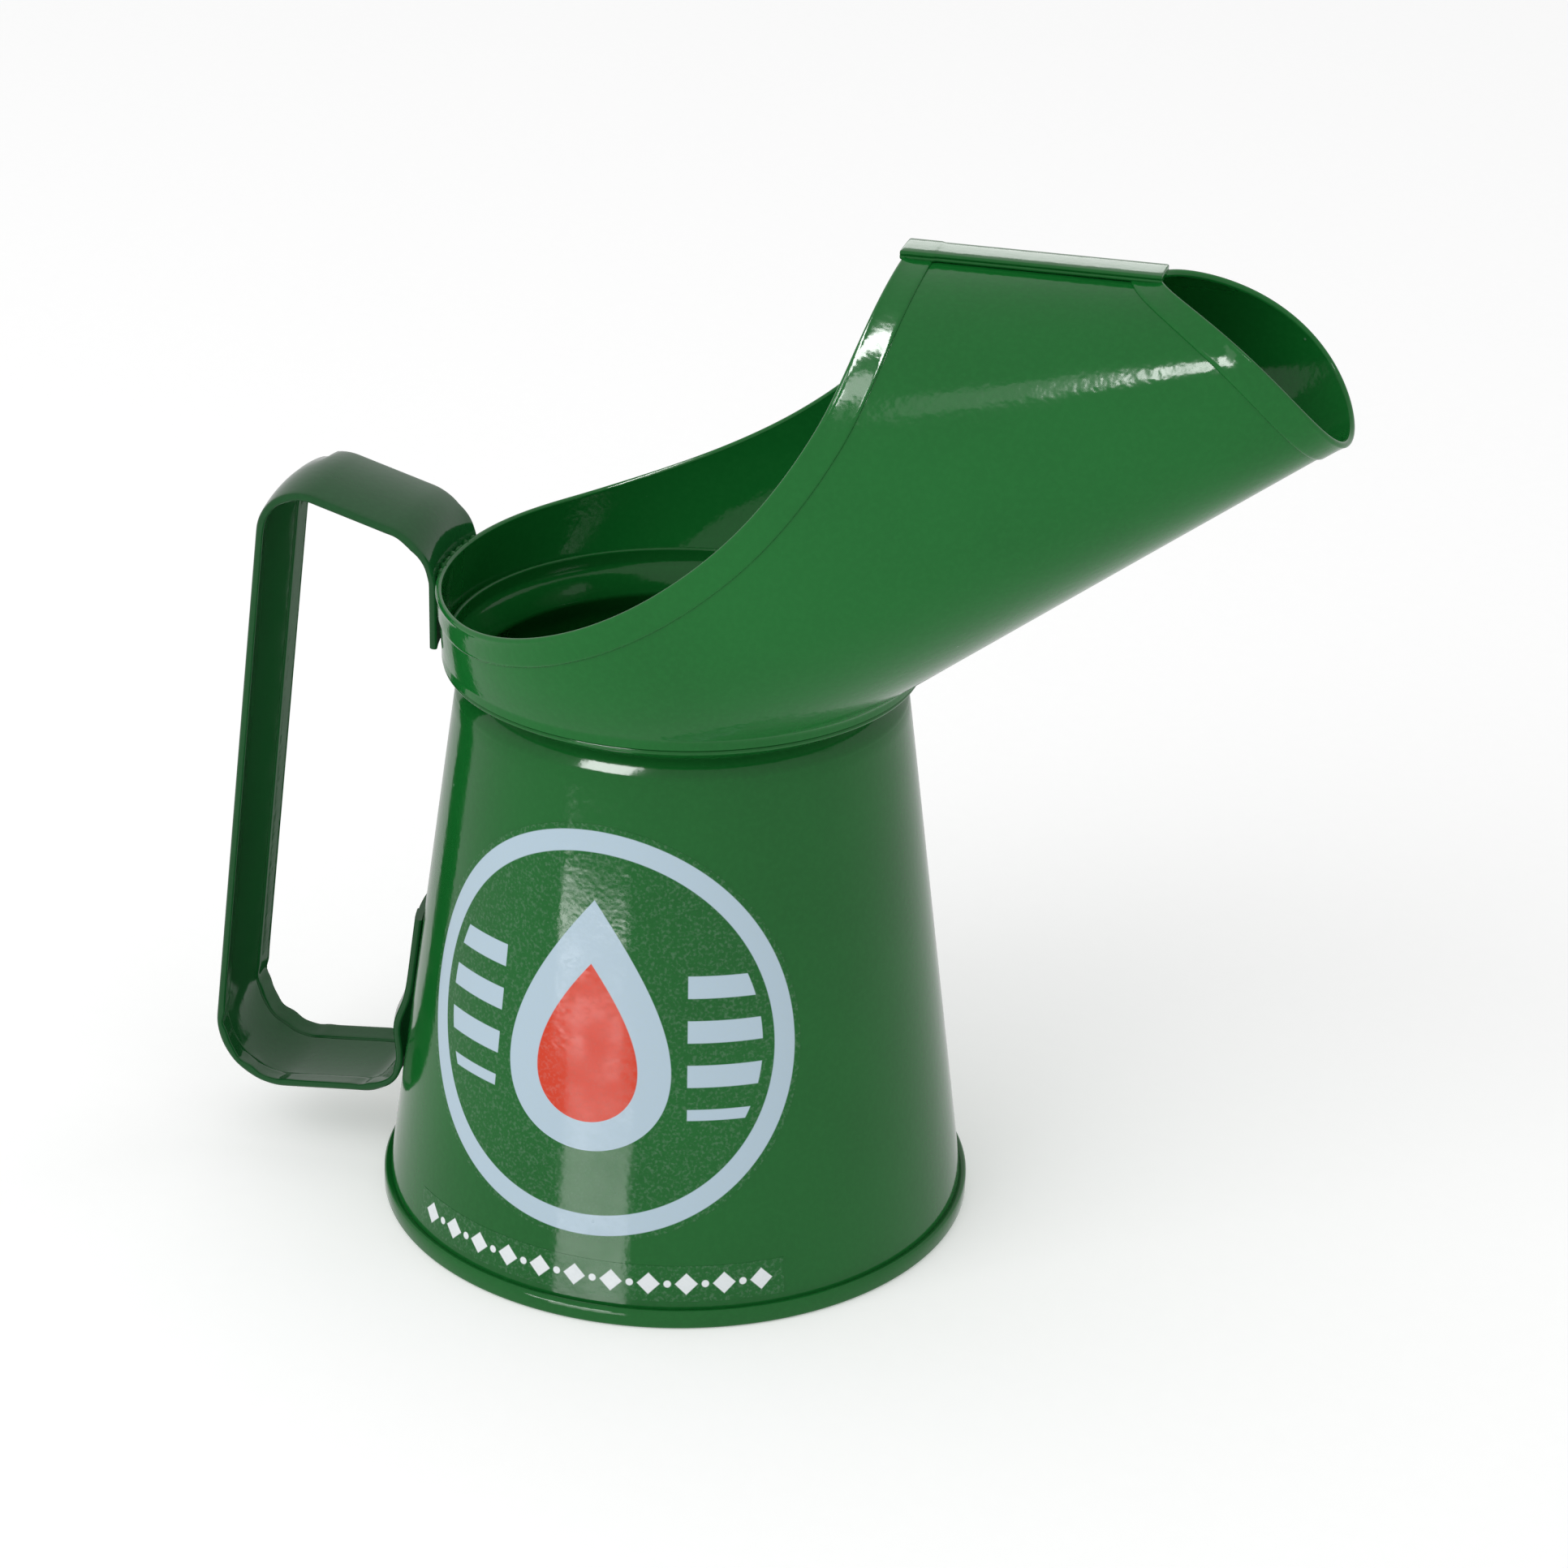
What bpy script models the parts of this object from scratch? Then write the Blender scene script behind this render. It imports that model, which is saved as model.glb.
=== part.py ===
"""Garage oil pouring jug in green enamelled sheet metal, about one litre.

A tapered body stands on a recessed base pan.  A wide pouring hood, rolled from
one sheet, sits on the body's neck: it is open behind for filling and closes to
a lip in front.  A folded slip-on strip locks the hood's two edges along the top,
and a bent strap with hemmed edges is the handle.  Two thin transfers decorate
the body.  Lengths are in millimetres here and become metres as meshes are made.

The body's axis is vertical, +X points to the pouring lip and +Z is up.  The
origin is under the middle of the object's box, so the body's axis lies a little
behind it.
"""

import math

import bmesh
import bpy
import numpy as np

MM = 0.001

# Clearances and sheet
GAP = 0.3                 # clearance between pieces that touch on the real object
BODY_SHEET = 0.6          # wall of the tapered body
PAN_SHEET = 0.6           # wall of the base pan
HOOD_SHEET = 0.7          # wall of the pouring hood
HEM_SHEET = 0.7           # extra thickness where the hood's edge is folded back
STRIP_SHEET = 0.7         # wall of the top seam strip
STRAP_SHEET = 0.8         # wall of the handle strap
FILM = 0.25               # thickness of a transfer
FOLD_STEP = 0.1           # width over which a folded hem's cut edge falls to the sheet

# Body and base
BASE_RADIUS = 62.0        # outside of the base pan's bead
BEAD_HEIGHT = 4.2         # height of that bead
BEAD_EDGE = 0.7           # rounding of the bead
PAN_RECESS = 3.2          # how far the base plate is above the floor
NECK_HEIGHT = 120.7       # where the hood's lower edge is
SHOULDER_DROP = 3.0       # height of the flare under the hood's edge
SHOULDER_FLARE = 3.2      # how far the flare stands out from the tapered wall
NECK_FLANGE = 5.0         # how far the neck stands up inside the hood
FLARE_BEND = 0.8          # size of the bend where the wall turns out into the flare
LEDGE_EDGE = 0.4          # rounding of the flare's outer edge

# Hood
COLLAR_RADIUS = 48.4      # outside of the hood's round lower edge
COLLAR_BAND = 1.65        # upright band before the underside turns forward
HOOD_RISE = 85.9          # from the top of that band to the crest
UNDERSIDE_RUN = 1.38      # forward reach of the underside for each unit of rise
CREST_NARROWING = 0.34    # how much slimmer the sections get towards the crest
BACK_SQUARENESS = 2.9     # how much fuller the sections get behind, towards the crest
REAR_RIM_HEIGHT = 14.5    # mouth's edge above the collar's edge, at the handle
MOUTH_CORNER_X = 43.5     # where the mouth's edge reaches the crest
LIP_REACH = 129.0         # lowest point of the pouring lip, from the body's axis
LIP_TOP_X = 91.0          # where the pouring lip reaches the crest
LIP_BULGE = 4.7           # how far the lip's side view bows forward
HEM_WIDTH = 5.2           # folded hem at the mouth and at the lip
HEM_OVERHANG = 0.3        # how far the fold itself stands past the sheet's edge
SEAM_HEM = 3.0            # folded hem along each edge at the crest
SEAM_GAP = 1.0            # half of the slot between the two edges at the crest
STRIP_OVERRUN = 1.2       # strip's overhang past the mouth's corner
STRIP_CHAMFER = 0.4       # softening of the strip's two folds
CREST_HEM_INSET = 0.4     # how far the crest hems stop short of the slot's ends

# Mouth's edge in side view, between its two ends: forward share and rise share
MOUTH_SHAPE = ((0.187, 0.02), (0.413, 0.107), (0.637, 0.267), (0.806, 0.462), (0.92, 0.68))

# Handle
STRAP_WIDTH = 27.0
STRAP_HEM = 5.0           # folded hem at each side of the strap
STRAP_CROWN = 1.2         # how far the middle of the strap stands out between its sides
GRIP_CLEARANCE = 45.0     # from the body to the strap's outer face, level with the top run
GRIP_LEAN = 0.1134        # strap's upright moves out by this for each millimetre down
TOP_RUN_RISE = 23.5       # from the neck to where the top run's line meets the collar
TOP_RUN_SLOPE = 0.29
LOW_RUN_HEIGHT = 15.6     # where the bottom run's line meets the body
LOW_RUN_SLOPE = 0.103
STRAP_BENDS = (10.0, 11.0, 15.0, 8.0)   # bend radii from the collar round to the body
UPPER_TAB_DROP = 0.3      # how far the tab on the collar ends below the neck
LOWER_TAB_END = 59.0      # upper end of the tab on the body
TAB_EASE = 8.0            # length in which a tab's hollow fades into the flat strap
CROWN_EASE = 14.0         # length in which the strap's crown rises from a tab

# Transfers, on the side wall
EMBLEM_RADIUS = 43.0      # less where the wall is too low for it
EMBLEM_MARGIN = 3.8       # least distance from the emblem to the border and the flare
BORDER_HEIGHT = 9.4
BORDER_WIDTH = 7.6
BORDER_SPAN = 82.0        # degrees round the body
TRANSFER_TURN = -4.0      # degrees from the side of the body towards the lip

# Facets
TURN_STEPS = 64
MOUTH_STEPS = 30
TOP_STEPS = 11
GIRTH_STEPS = 16
HEM_STEPS = 56
CREST_HEM_STEPS = 4
EMBLEM_RINGS = 6
EMBLEM_TURNS = 40
BORDER_STEPS = 28
BEND_STEP = 3.0           # spacing of the facets in the strap's bends


SHOULDER_HEIGHT = NECK_HEIGHT - SHOULDER_DROP
FOOT_RADIUS = BASE_RADIUS - PAN_SHEET - GAP
THROAT_RADIUS = COLLAR_RADIUS - SHOULDER_FLARE
BODY_TAPER = (FOOT_RADIUS - THROAT_RADIUS) / SHOULDER_HEIGHT


def body_radius(height):
    """Outside radius of the tapered wall at a height above the floor."""
    return FOOT_RADIUS - BODY_TAPER * height


CREST_HEIGHT = NECK_HEIGHT + COLLAR_BAND + HOOD_RISE
TOP_RUN_HEIGHT = NECK_HEIGHT + TOP_RUN_RISE
UPPER_TAB_END = NECK_HEIGHT - UPPER_TAB_DROP
BORDER_TOP = BORDER_HEIGHT + BORDER_WIDTH / 2
EMBLEM_ROOM = (SHOULDER_HEIGHT - BORDER_TOP) / 2 - EMBLEM_MARGIN
EMBLEM_REACH = min(EMBLEM_RADIUS, EMBLEM_ROOM)
EMBLEM_HEIGHT = BORDER_TOP + EMBLEM_MARGIN + EMBLEM_REACH
TAB_RADIUS = COLLAR_RADIUS + HEM_SHEET + GAP
STRIP_INSIDE = SEAM_GAP + SEAM_HEM + GAP      # half of the strip's clear width
STRIP_OUTSIDE = STRIP_INSIDE + STRIP_SHEET


# ---------------------------------------------------------------- hood surface

def hood_section(x, z):
    """Squared half width of the hood's outer surface at x, z; negative outside it.

    Level sections are circles at the collar and become parabolas towards the
    crest, as on a cone whose top line is level.  With s running from 0 at the
    front of a section to 1 at its back, the square of the half width is
    k (H - h) L s (1 - s**m): h is the height above the collar band, H its value
    at the crest, L the section's length, and k and m change evenly with h.
    """
    rise = np.maximum(z - NECK_HEIGHT - COLLAR_BAND, 0.0)
    share = rise / HOOD_RISE
    front = COLLAR_RADIUS + rise * UNDERSIDE_RUN
    length = front + COLLAR_RADIUS
    s = (front - x) / length
    fullness = 2 * COLLAR_RADIUS / HOOD_RISE * (1 - CREST_NARROWING * share)
    power = 1 + BACK_SQUARENESS * share
    closing = 1 - np.sign(s) * np.abs(s) ** power
    return fullness * (HOOD_RISE - rise) * length * s * closing


def hood_gradient(points):
    """Outward direction of the hood's surface, not yet of unit length."""
    step = 0.02
    x, y, z = points.T
    slope_x = (hood_section(x + step, z) - hood_section(x - step, z)) / (2 * step)
    slope_z = (hood_section(x, z + step) - hood_section(x, z - step)) / (2 * step)
    return np.stack([-slope_x, 2 * y, -slope_z], axis=1)


def hood_normals(points):
    gradient = hood_gradient(points)
    return gradient / np.linalg.norm(gradient, axis=1)[:, None]


def onto_hood(points):
    """Move points along the surface's normal until they lie on it."""
    for _ in range(6):
        gradient = hood_gradient(points)
        excess = points[:, 1] ** 2 - hood_section(points[:, 0], points[:, 2])
        shift = np.clip(excess / (gradient ** 2).sum(axis=1), -0.05, 0.05)
        points = points - gradient * shift[:, None]
    return points


def lifted(x, z):
    """Points of the +Y half of the hood from their side view."""
    width = np.sqrt(np.maximum(hood_section(x, z), 0.0))
    return np.stack([x, width, z], axis=-1)


def smooth_curve(knots, where):
    """A cardinal spline through 2-D knots, read at shares of its chord length."""
    knots = np.asarray(knots, dtype=float)
    chords = np.linalg.norm(np.diff(knots, axis=0), axis=1)
    place = np.concatenate([[0.0], np.cumsum(chords)]) / chords.sum()
    tangents = np.gradient(knots, place, axis=0)
    index = np.clip(np.searchsorted(place, where, side="right") - 1, 0, len(chords) - 1)
    span = (place[index + 1] - place[index])[:, None]
    t = ((where - place[index]) / span[:, 0])[:, None]
    return ((2 * t**3 - 3 * t**2 + 1) * knots[index]
            + (t**3 - 2 * t**2 + t) * span * tangents[index]
            + (3 * t**2 - 2 * t**3) * knots[index + 1]
            + (t**3 - t**2) * span * tangents[index + 1])


def eased(share):
    """Even steps bunched towards both ends, as the shadow of a turning point is."""
    return (1 - np.cos(np.pi * share)) / 2


def mouth_outline(share):
    """Mouth's edge in side view, from the handle's side to the crest."""
    start = np.array([-COLLAR_RADIUS, NECK_HEIGHT + REAR_RIM_HEIGHT])
    end = np.array([MOUTH_CORNER_X, seam_height(MOUTH_CORNER_X)])
    knots = [start]
    knots += [start + (end - start) * shares for shares in MOUTH_SHAPE]
    knots.append(end)
    return smooth_curve(knots, eased(share))


def seam_height(x):
    """Height at which the surface is as narrow as the slot along the crest."""
    depth = 0.5
    growth = hood_section(x, CREST_HEIGHT - depth) / depth
    return CREST_HEIGHT - SEAM_GAP**2 / growth


def lip_bottom():
    rise = (LIP_REACH - COLLAR_RADIUS) / UNDERSIDE_RUN
    return np.array([LIP_REACH, NECK_HEIGHT + COLLAR_BAND + rise])


def side_view(along, girth):
    """Side view of the hood's half: along runs 0 to 2, girth 0 to 1.

    Along 0 is the back line and 1 the mouth's upper corner: the lower boundary
    is the collar's edge and the upper one the mouth's.  From 1 to 2, the lip,
    the lower boundary is the line of the underside and the upper one the crest.
    """
    back = np.minimum(along, 1.0)
    front = np.maximum(along - 1.0, 0.0)
    collar = np.stack([-COLLAR_RADIUS * np.cos(np.pi * back), np.full_like(back, NECK_HEIGHT)], -1)
    lower = collar + front[:, None] * (lip_bottom() - [COLLAR_RADIUS, NECK_HEIGHT])
    kink = np.minimum(front * (lip_bottom()[1] - NECK_HEIGHT), COLLAR_BAND)
    lower[:, 0] = np.where(front > 0, COLLAR_RADIUS
                           + np.maximum(lower[:, 1] - NECK_HEIGHT - kink, 0) * UNDERSIDE_RUN, lower[:, 0])
    crest_x = MOUTH_CORNER_X + front * (LIP_TOP_X - MOUTH_CORNER_X)
    crest = np.stack([crest_x, seam_height(crest_x)], -1)
    upper = np.where((along < 1.0)[:, None], mouth_outline(back), crest)
    mix = np.clip(2 * along - 1, 0, 1)[:, None]
    share = (1 - mix) * girth + mix * eased(girth)
    run = upper - lower
    bow = LIP_BULGE * front**2 / np.linalg.norm(run, axis=1)
    sideways = np.stack([run[:, 1], -run[:, 0]], -1) * bow[:, None]
    offset = 4 * share * (1 - share)
    return lower[:, None] + share[..., None] * run[:, None] + offset[..., None] * sideways[:, None]


# ------------------------------------------------------------------ mesh helpers

def metres(points, shift_x):
    points = np.array(points, dtype=float)
    points[:, 0] += shift_x
    return points * MM


def add_object(name, bm, material, sharp_degrees=35.0):
    """Finish a bmesh as a named object with smooth shading and one material."""
    bmesh.ops.recalc_face_normals(bm, faces=bm.faces)
    mesh = bpy.data.meshes.new(name)
    bm.to_mesh(mesh)
    bm.free()
    mesh.shade_smooth()
    mesh.set_sharp_from_angle(angle=math.radians(sharp_degrees))
    mesh.materials.append(material)
    obj = bpy.data.objects.new(name, mesh)
    bpy.context.scene.collection.objects.link(obj)
    return obj


def turned(name, outline, material, shift_x):
    """Spin a closed or axis-to-axis outline of radius and height round the body's axis."""
    bm = bmesh.new()
    closed = outline[0][0] > 0
    corners = [bm.verts.new(((radius + shift_x) * MM, 0, height * MM)) for radius, height in outline]
    edges = [bm.edges.new(pair) for pair in zip(corners, corners[1:])]
    if closed:
        edges.append(bm.edges.new((corners[-1], corners[0])))
    bmesh.ops.spin(bm, geom=corners + edges, cent=(shift_x * MM, 0, 0), axis=(0, 0, 1),
                   angle=2 * math.pi, steps=TURN_STEPS, use_merge=True)
    bmesh.ops.remove_doubles(bm, verts=bm.verts, dist=1e-6)
    return add_object(name, bm, material)


def grid_verts(bm, points, shift_x):
    """Vertices for a grid of points, kept as rows."""
    rows, columns = points.shape[:2]
    verts = [bm.verts.new(point) for point in metres(points.reshape(-1, 3), shift_x)]
    return [verts[r * columns:(r + 1) * columns] for r in range(rows)]


def bridge(bm, first, second):
    """Quads between two lines of vertices that run side by side."""
    for k in range(len(first) - 1):
        bm.faces.new((first[k], first[k + 1], second[k + 1], second[k]))


def cover(bm, rows):
    """Quads over a whole grid of vertices."""
    for first, second in zip(rows, rows[1:]):
        bridge(bm, first, second)


def slab(outer, inner, shift_x):
    """A closed plate between two grids of points that run side by side."""
    bm = bmesh.new()
    front = grid_verts(bm, outer, shift_x)
    back = grid_verts(bm, inner, shift_x)
    cover(bm, front)
    cover(bm, back)
    for k in (0, -1):
        bridge(bm, front[k], back[k])
        bridge(bm, [row[k] for row in front], [row[k] for row in back])
    return bm


def arc(centre, radius, start, end, steps):
    """Points on an arc, angles in degrees."""
    angles = np.radians(np.linspace(start, end, steps + 1))
    return [(centre[0] + radius * math.cos(a), centre[1] + radius * math.sin(a)) for a in angles]


def unite(target, tools):
    """Fuse tool objects into the target; the tools themselves stay hidden."""
    for tool in tools:
        modifier = target.modifiers.new("join " + tool.name, "BOOLEAN")
        modifier.operation = "UNION"
        modifier.solver = "EXACT"
        modifier.object = tool
        tool.hide_render = True
        tool.display_type = "WIRE"


# --------------------------------------------------------------------- sub-parts

def make_body(material, shift_x):
    """Tapered wall with a flared shoulder and an upright neck flange."""
    foot = PAN_SHEET + GAP
    shoulder = SHOULDER_HEIGHT
    flange_outer = COLLAR_RADIUS - HOOD_SHEET - GAP
    flange_inner = flange_outer - BODY_SHEET
    flange_top = NECK_HEIGHT + NECK_FLANGE
    ledge = NECK_HEIGHT - GAP
    throat = THROAT_RADIUS
    edge = BODY_SHEET / 2
    outer = [(body_radius(foot), foot), (throat, shoulder)]
    outer += [(throat + FLARE_BEND, shoulder + FLARE_BEND)]
    outer += [(COLLAR_RADIUS - LEDGE_EDGE, ledge - 2 * LEDGE_EDGE), (COLLAR_RADIUS, ledge - LEDGE_EDGE)]
    outer += [(COLLAR_RADIUS - LEDGE_EDGE, ledge), (flange_outer, ledge)]
    rounded_top = arc((flange_outer - edge, flange_top - edge), edge, 0, 180, 4)
    inner = [(flange_inner, ledge - FLARE_BEND), (throat, shoulder + LEDGE_EDGE)]
    inner += [(throat - BODY_SHEET, shoulder - LEDGE_EDGE), (body_radius(foot) - BODY_SHEET, foot)]
    return turned("tapered_body", outer + rounded_top + inner, material, shift_x)


def make_pan(material, shift_x):
    """Base plate with a channel and bead that take the body's lower edge."""
    plate_top = PAN_RECESS + PAN_SHEET
    channel_outer = BASE_RADIUS - PAN_SHEET
    channel_inner = body_radius(plate_top) - BODY_SHEET - GAP
    pan_inner = channel_inner - PAN_SHEET
    bead_top = BEAD_HEIGHT - BEAD_EDGE
    outline = [(0, plate_top), (channel_inner, plate_top), (channel_inner, PAN_SHEET)]
    outline += [(channel_outer, PAN_SHEET), (channel_outer, BEAD_HEIGHT)]
    outline += arc((BASE_RADIUS - BEAD_EDGE, bead_top), BEAD_EDGE, 80, 0, 3)
    outline += arc((BASE_RADIUS - BEAD_EDGE, BEAD_EDGE), BEAD_EDGE, 0, -90, 3)
    outline += arc((pan_inner + BEAD_EDGE / 2, BEAD_EDGE / 2), BEAD_EDGE / 2, -90, -180, 2)
    outline += [(pan_inner, PAN_RECESS), (0, PAN_RECESS)]
    return turned("base_pan", outline, material, shift_x)


def lip_outline(share):
    """Lip's edge in side view, from the underside to the crest."""
    return side_view(np.array([2.0]), share)[0]


def hemmed_edge(outline):
    """Half of a free edge, from the middle plane to just short of the seam strip."""
    near_crest = np.linspace(0.7, 1, 200)
    view = outline(near_crest)
    width = lifted(view[:, 0], view[:, 1])[:, 1]
    last = np.interp(-STRIP_OUTSIDE - GAP, -width, near_crest)
    view = outline(np.linspace(0, last, HEM_STEPS // 2 + 1))
    edge = lifted(view[:, 0], view[:, 1])
    edge[0, 1] = 0.0
    return edge


def hem_band(name, edge, width, material, shift_x):
    """Folded-back edge: a band on the outside of the hood along an edge line."""
    tangent = np.gradient(edge, axis=0)
    normals = hood_normals(edge)
    inward = np.cross(normals, tangent)
    inward /= np.linalg.norm(inward, axis=1)[:, None]
    rows_out = []
    rows_in = []
    for distance in (-HEM_OVERHANG, width / 2, width):
        points = onto_hood(edge + inward * max(distance, 0.0))
        facing = hood_normals(points)
        points = points + inward * min(distance, 0.0)
        rows_out.append(points + facing * HEM_SHEET)
        rows_in.append(points - facing * HOOD_SHEET / 2)
    bm = slab(np.stack(rows_out, 1), np.stack(rows_in, 1), shift_x)
    return add_object(name, bm, material)


def mirrored(points):
    return points * np.array([1.0, -1.0, 1.0])


def make_hood(material, shift_x):
    """Pouring hood: one rolled sheet whose free edges are folded back outside."""
    along = np.concatenate([np.linspace(0, 1, MOUTH_STEPS, endpoint=False),
                            np.linspace(1, 2, TOP_STEPS + 1)])
    girth = np.linspace(0, 1, GIRTH_STEPS + 1)
    view = side_view(along, girth)
    half = lifted(view[..., 0], view[..., 1])
    half[0, :, 1] = 0.0
    half[along >= 1.0, 0, 1] = 0.0
    bm = bmesh.new()
    for side in (1.0, -1.0):
        outer = half * np.array([1.0, side, 1.0])
        facing = hood_normals(outer.reshape(-1, 3)).reshape(outer.shape)
        facing[0, :, 1] = 0.0
        outside = grid_verts(bm, outer, shift_x)
        inside = grid_verts(bm, outer - facing * HOOD_SHEET, shift_x)
        cover(bm, outside)
        cover(bm, inside)
        bridge(bm, outside[-1], inside[-1])
        bridge(bm, [row[-1] for row in outside], [row[-1] for row in inside])
        behind_lip = MOUTH_STEPS + 1
        bridge(bm, [row[0] for row in outside[:behind_lip]], [row[0] for row in inside[:behind_lip]])
    bmesh.ops.remove_doubles(bm, verts=bm.verts, dist=2e-6)
    hood = add_object("pouring_hood", bm, material)

    mouth = hemmed_edge(mouth_outline)
    lip = hemmed_edge(lip_outline)
    mouth_edge = np.concatenate([mirrored(mouth[:0:-1]), mouth])
    lip_edge = np.concatenate([lip[:0:-1], mirrored(lip)])
    crest_x = np.linspace(MOUTH_CORNER_X + CREST_HEM_INSET, LIP_TOP_X - CREST_HEM_INSET, CREST_HEM_STEPS + 1)
    crest = np.stack([crest_x, np.full_like(crest_x, SEAM_GAP + FOLD_STEP / 2), seam_height(crest_x)], 1)
    bands = [hem_band("mouth hem", mouth_edge, HEM_WIDTH, material, shift_x),
             hem_band("lip hem", lip_edge, HEM_WIDTH, material, shift_x),
             hem_band("left crest hem", crest, SEAM_HEM, material, shift_x),
             hem_band("right crest hem", mirrored(crest[::-1]), SEAM_HEM, material, shift_x)]
    unite(hood, bands)
    return hood


def make_strip(material, shift_x):
    """Folded channel slipped over the two crest hems."""
    start = MOUTH_CORNER_X - STRIP_OVERRUN
    end = LIP_TOP_X + STRIP_OVERRUN
    ceiling = CREST_HEIGHT + HEM_SHEET + GAP
    floor = CREST_HEIGHT + GAP
    top = ceiling + STRIP_SHEET
    shelf = top - STRIP_CHAMFER
    half_top = STRIP_OUTSIDE - STRIP_CHAMFER
    section = [(-STRIP_OUTSIDE, floor), (-STRIP_OUTSIDE, shelf), (-half_top, top)]
    section += [(half_top, top), (STRIP_OUTSIDE, shelf), (STRIP_OUTSIDE, floor)]
    section += [(STRIP_INSIDE, floor), (STRIP_INSIDE, ceiling)]
    section += [(-STRIP_INSIDE, ceiling), (-STRIP_INSIDE, floor)]
    bm = bmesh.new()
    ring = [bm.verts.new(((start + shift_x) * MM, y * MM, z * MM)) for y, z in section]
    face = bm.faces.new(ring)
    extruded = bmesh.ops.extrude_face_region(bm, geom=[face])
    moved = [item for item in extruded["geom"] if isinstance(item, bmesh.types.BMVert)]
    bmesh.ops.translate(bm, verts=moved, vec=((end - start) * MM, 0, 0))
    return add_object("top_seam_strip", bm, material)


def filleted(corners, radii):
    """Side-view path through corners with round bends, as evenly spaced points."""
    corners = [np.array(c, dtype=float) for c in corners]
    path = [corners[0]]
    for before, corner, after, radius in zip(corners, corners[1:], corners[2:], radii):
        into = (before - corner) / np.linalg.norm(before - corner)
        out = (after - corner) / np.linalg.norm(after - corner)
        half = math.acos(float(np.dot(into, out))) / 2
        reach = radius / math.tan(half)
        centre = corner + (into + out) / np.linalg.norm(into + out) * radius / math.sin(half)
        start = corner + into * reach - centre
        finish = corner + out * reach - centre
        sweep = math.pi - 2 * half
        turn = math.copysign(sweep, start[0] * finish[1] - start[1] * finish[0])
        steps = max(4, round(radius * sweep / BEND_STEP))
        for angle in np.linspace(0, turn, steps + 1):
            c, s = math.cos(angle), math.sin(angle)
            path.append(centre + [c * start[0] - s * start[1], s * start[0] + c * start[1]])
    path.append(corners[-1])
    return np.array(path)


def crossing(start, direction, other_start, other_direction):
    """Where two straight lines in side view meet."""
    across = np.array([direction, [-d for d in other_direction]]).T
    share = np.linalg.solve(across, np.subtract(other_start, start))[0]
    return tuple(np.add(start, np.multiply(direction, share)))


def strap_path():
    """Outer face of the strap in side view, from the collar round to the body."""
    def wall_x(height):
        return -body_radius(height) - GAP

    collar_corner = (-TAB_RADIUS, TOP_RUN_HEIGHT)
    wall_corner = (wall_x(LOW_RUN_HEIGHT), LOW_RUN_HEIGHT)
    grip = (-body_radius(TOP_RUN_HEIGHT) - GRIP_CLEARANCE, TOP_RUN_HEIGHT)
    top_corner = crossing(collar_corner, (-1.0, TOP_RUN_SLOPE), grip, (GRIP_LEAN, 1.0))
    low_corner = crossing(wall_corner, (-1.0, -LOW_RUN_SLOPE), grip, (GRIP_LEAN, 1.0))
    corners = [(-TAB_RADIUS, UPPER_TAB_END), collar_corner, top_corner, low_corner,
               wall_corner, (wall_x(LOWER_TAB_END), LOWER_TAB_END)]
    return filleted(corners, STRAP_BENDS)


def make_handle(material, shift_x):
    """Strap with both long edges folded in; its end tabs are hollowed to fit."""
    path = strap_path()
    tangent = np.gradient(path, axis=0)
    tangent /= np.linalg.norm(tangent, axis=1)[:, None]
    outward = np.stack([tangent[:, 1], -tangent[:, 0]], 1)
    along = np.concatenate([[0.0], np.cumsum(np.linalg.norm(np.diff(path, axis=0), axis=1))])
    half = STRAP_WIDTH / 2
    fold = half - STRAP_HEM
    steps = [fold / 2, fold - FOLD_STEP / 2, fold + FOLD_STEP / 2, half]
    across = np.array([-step for step in reversed(steps)] + [0.0] + steps)
    hemmed = np.abs(across) > fold
    upper_tab = TOP_RUN_HEIGHT - STRAP_BENDS[0] - UPPER_TAB_END
    lower_tab = LOWER_TAB_END - LOW_RUN_HEIGHT - STRAP_BENDS[3]
    from_end = along[-1] - along
    hug_upper = np.clip(1 - (along - upper_tab) / TAB_EASE, 0, 1)
    hug_lower = np.clip(1 - (from_end - lower_tab) / TAB_EASE, 0, 1)
    free = np.clip(np.minimum(along - upper_tab, from_end - lower_tab) / CROWN_EASE, 0, 1)
    hollow_upper = TAB_RADIUS - np.sqrt(TAB_RADIUS**2 - across**2)
    lower_radius = body_radius(LOWER_TAB_END) + GAP
    hollow_lower = lower_radius - np.sqrt(lower_radius**2 - across**2)
    crown = STRAP_CROWN * (across / half) ** 2
    offset = (hug_upper[:, None] * hollow_upper + hug_lower[:, None] * hollow_lower
              - free[:, None] * crown)
    thickness = np.where(hemmed, 2 * STRAP_SHEET, STRAP_SHEET)
    outer = np.empty((len(path), len(across), 3))
    outer[..., 0] = path[:, None, 0] + offset * outward[:, None, 0]
    outer[..., 1] = across
    outer[..., 2] = path[:, None, 1] + offset * outward[:, None, 1]
    inner = outer.copy()
    inner[..., 0] -= thickness * outward[:, None, 0]
    inner[..., 2] -= thickness * outward[:, None, 1]
    return add_object("handle_strap", slab(outer, inner, shift_x), material)


def on_wall(flat_x, flat_z, height, lift):
    """Wrap a flat pattern round the tapered wall, centred on the decorated side."""
    level = height + flat_z
    radius = body_radius(level)
    angle = np.radians(-90 + TRANSFER_TURN) + flat_x / body_radius(height)
    reach = radius + lift
    return np.stack([reach * np.cos(angle), reach * np.sin(angle), level], -1)


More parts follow.
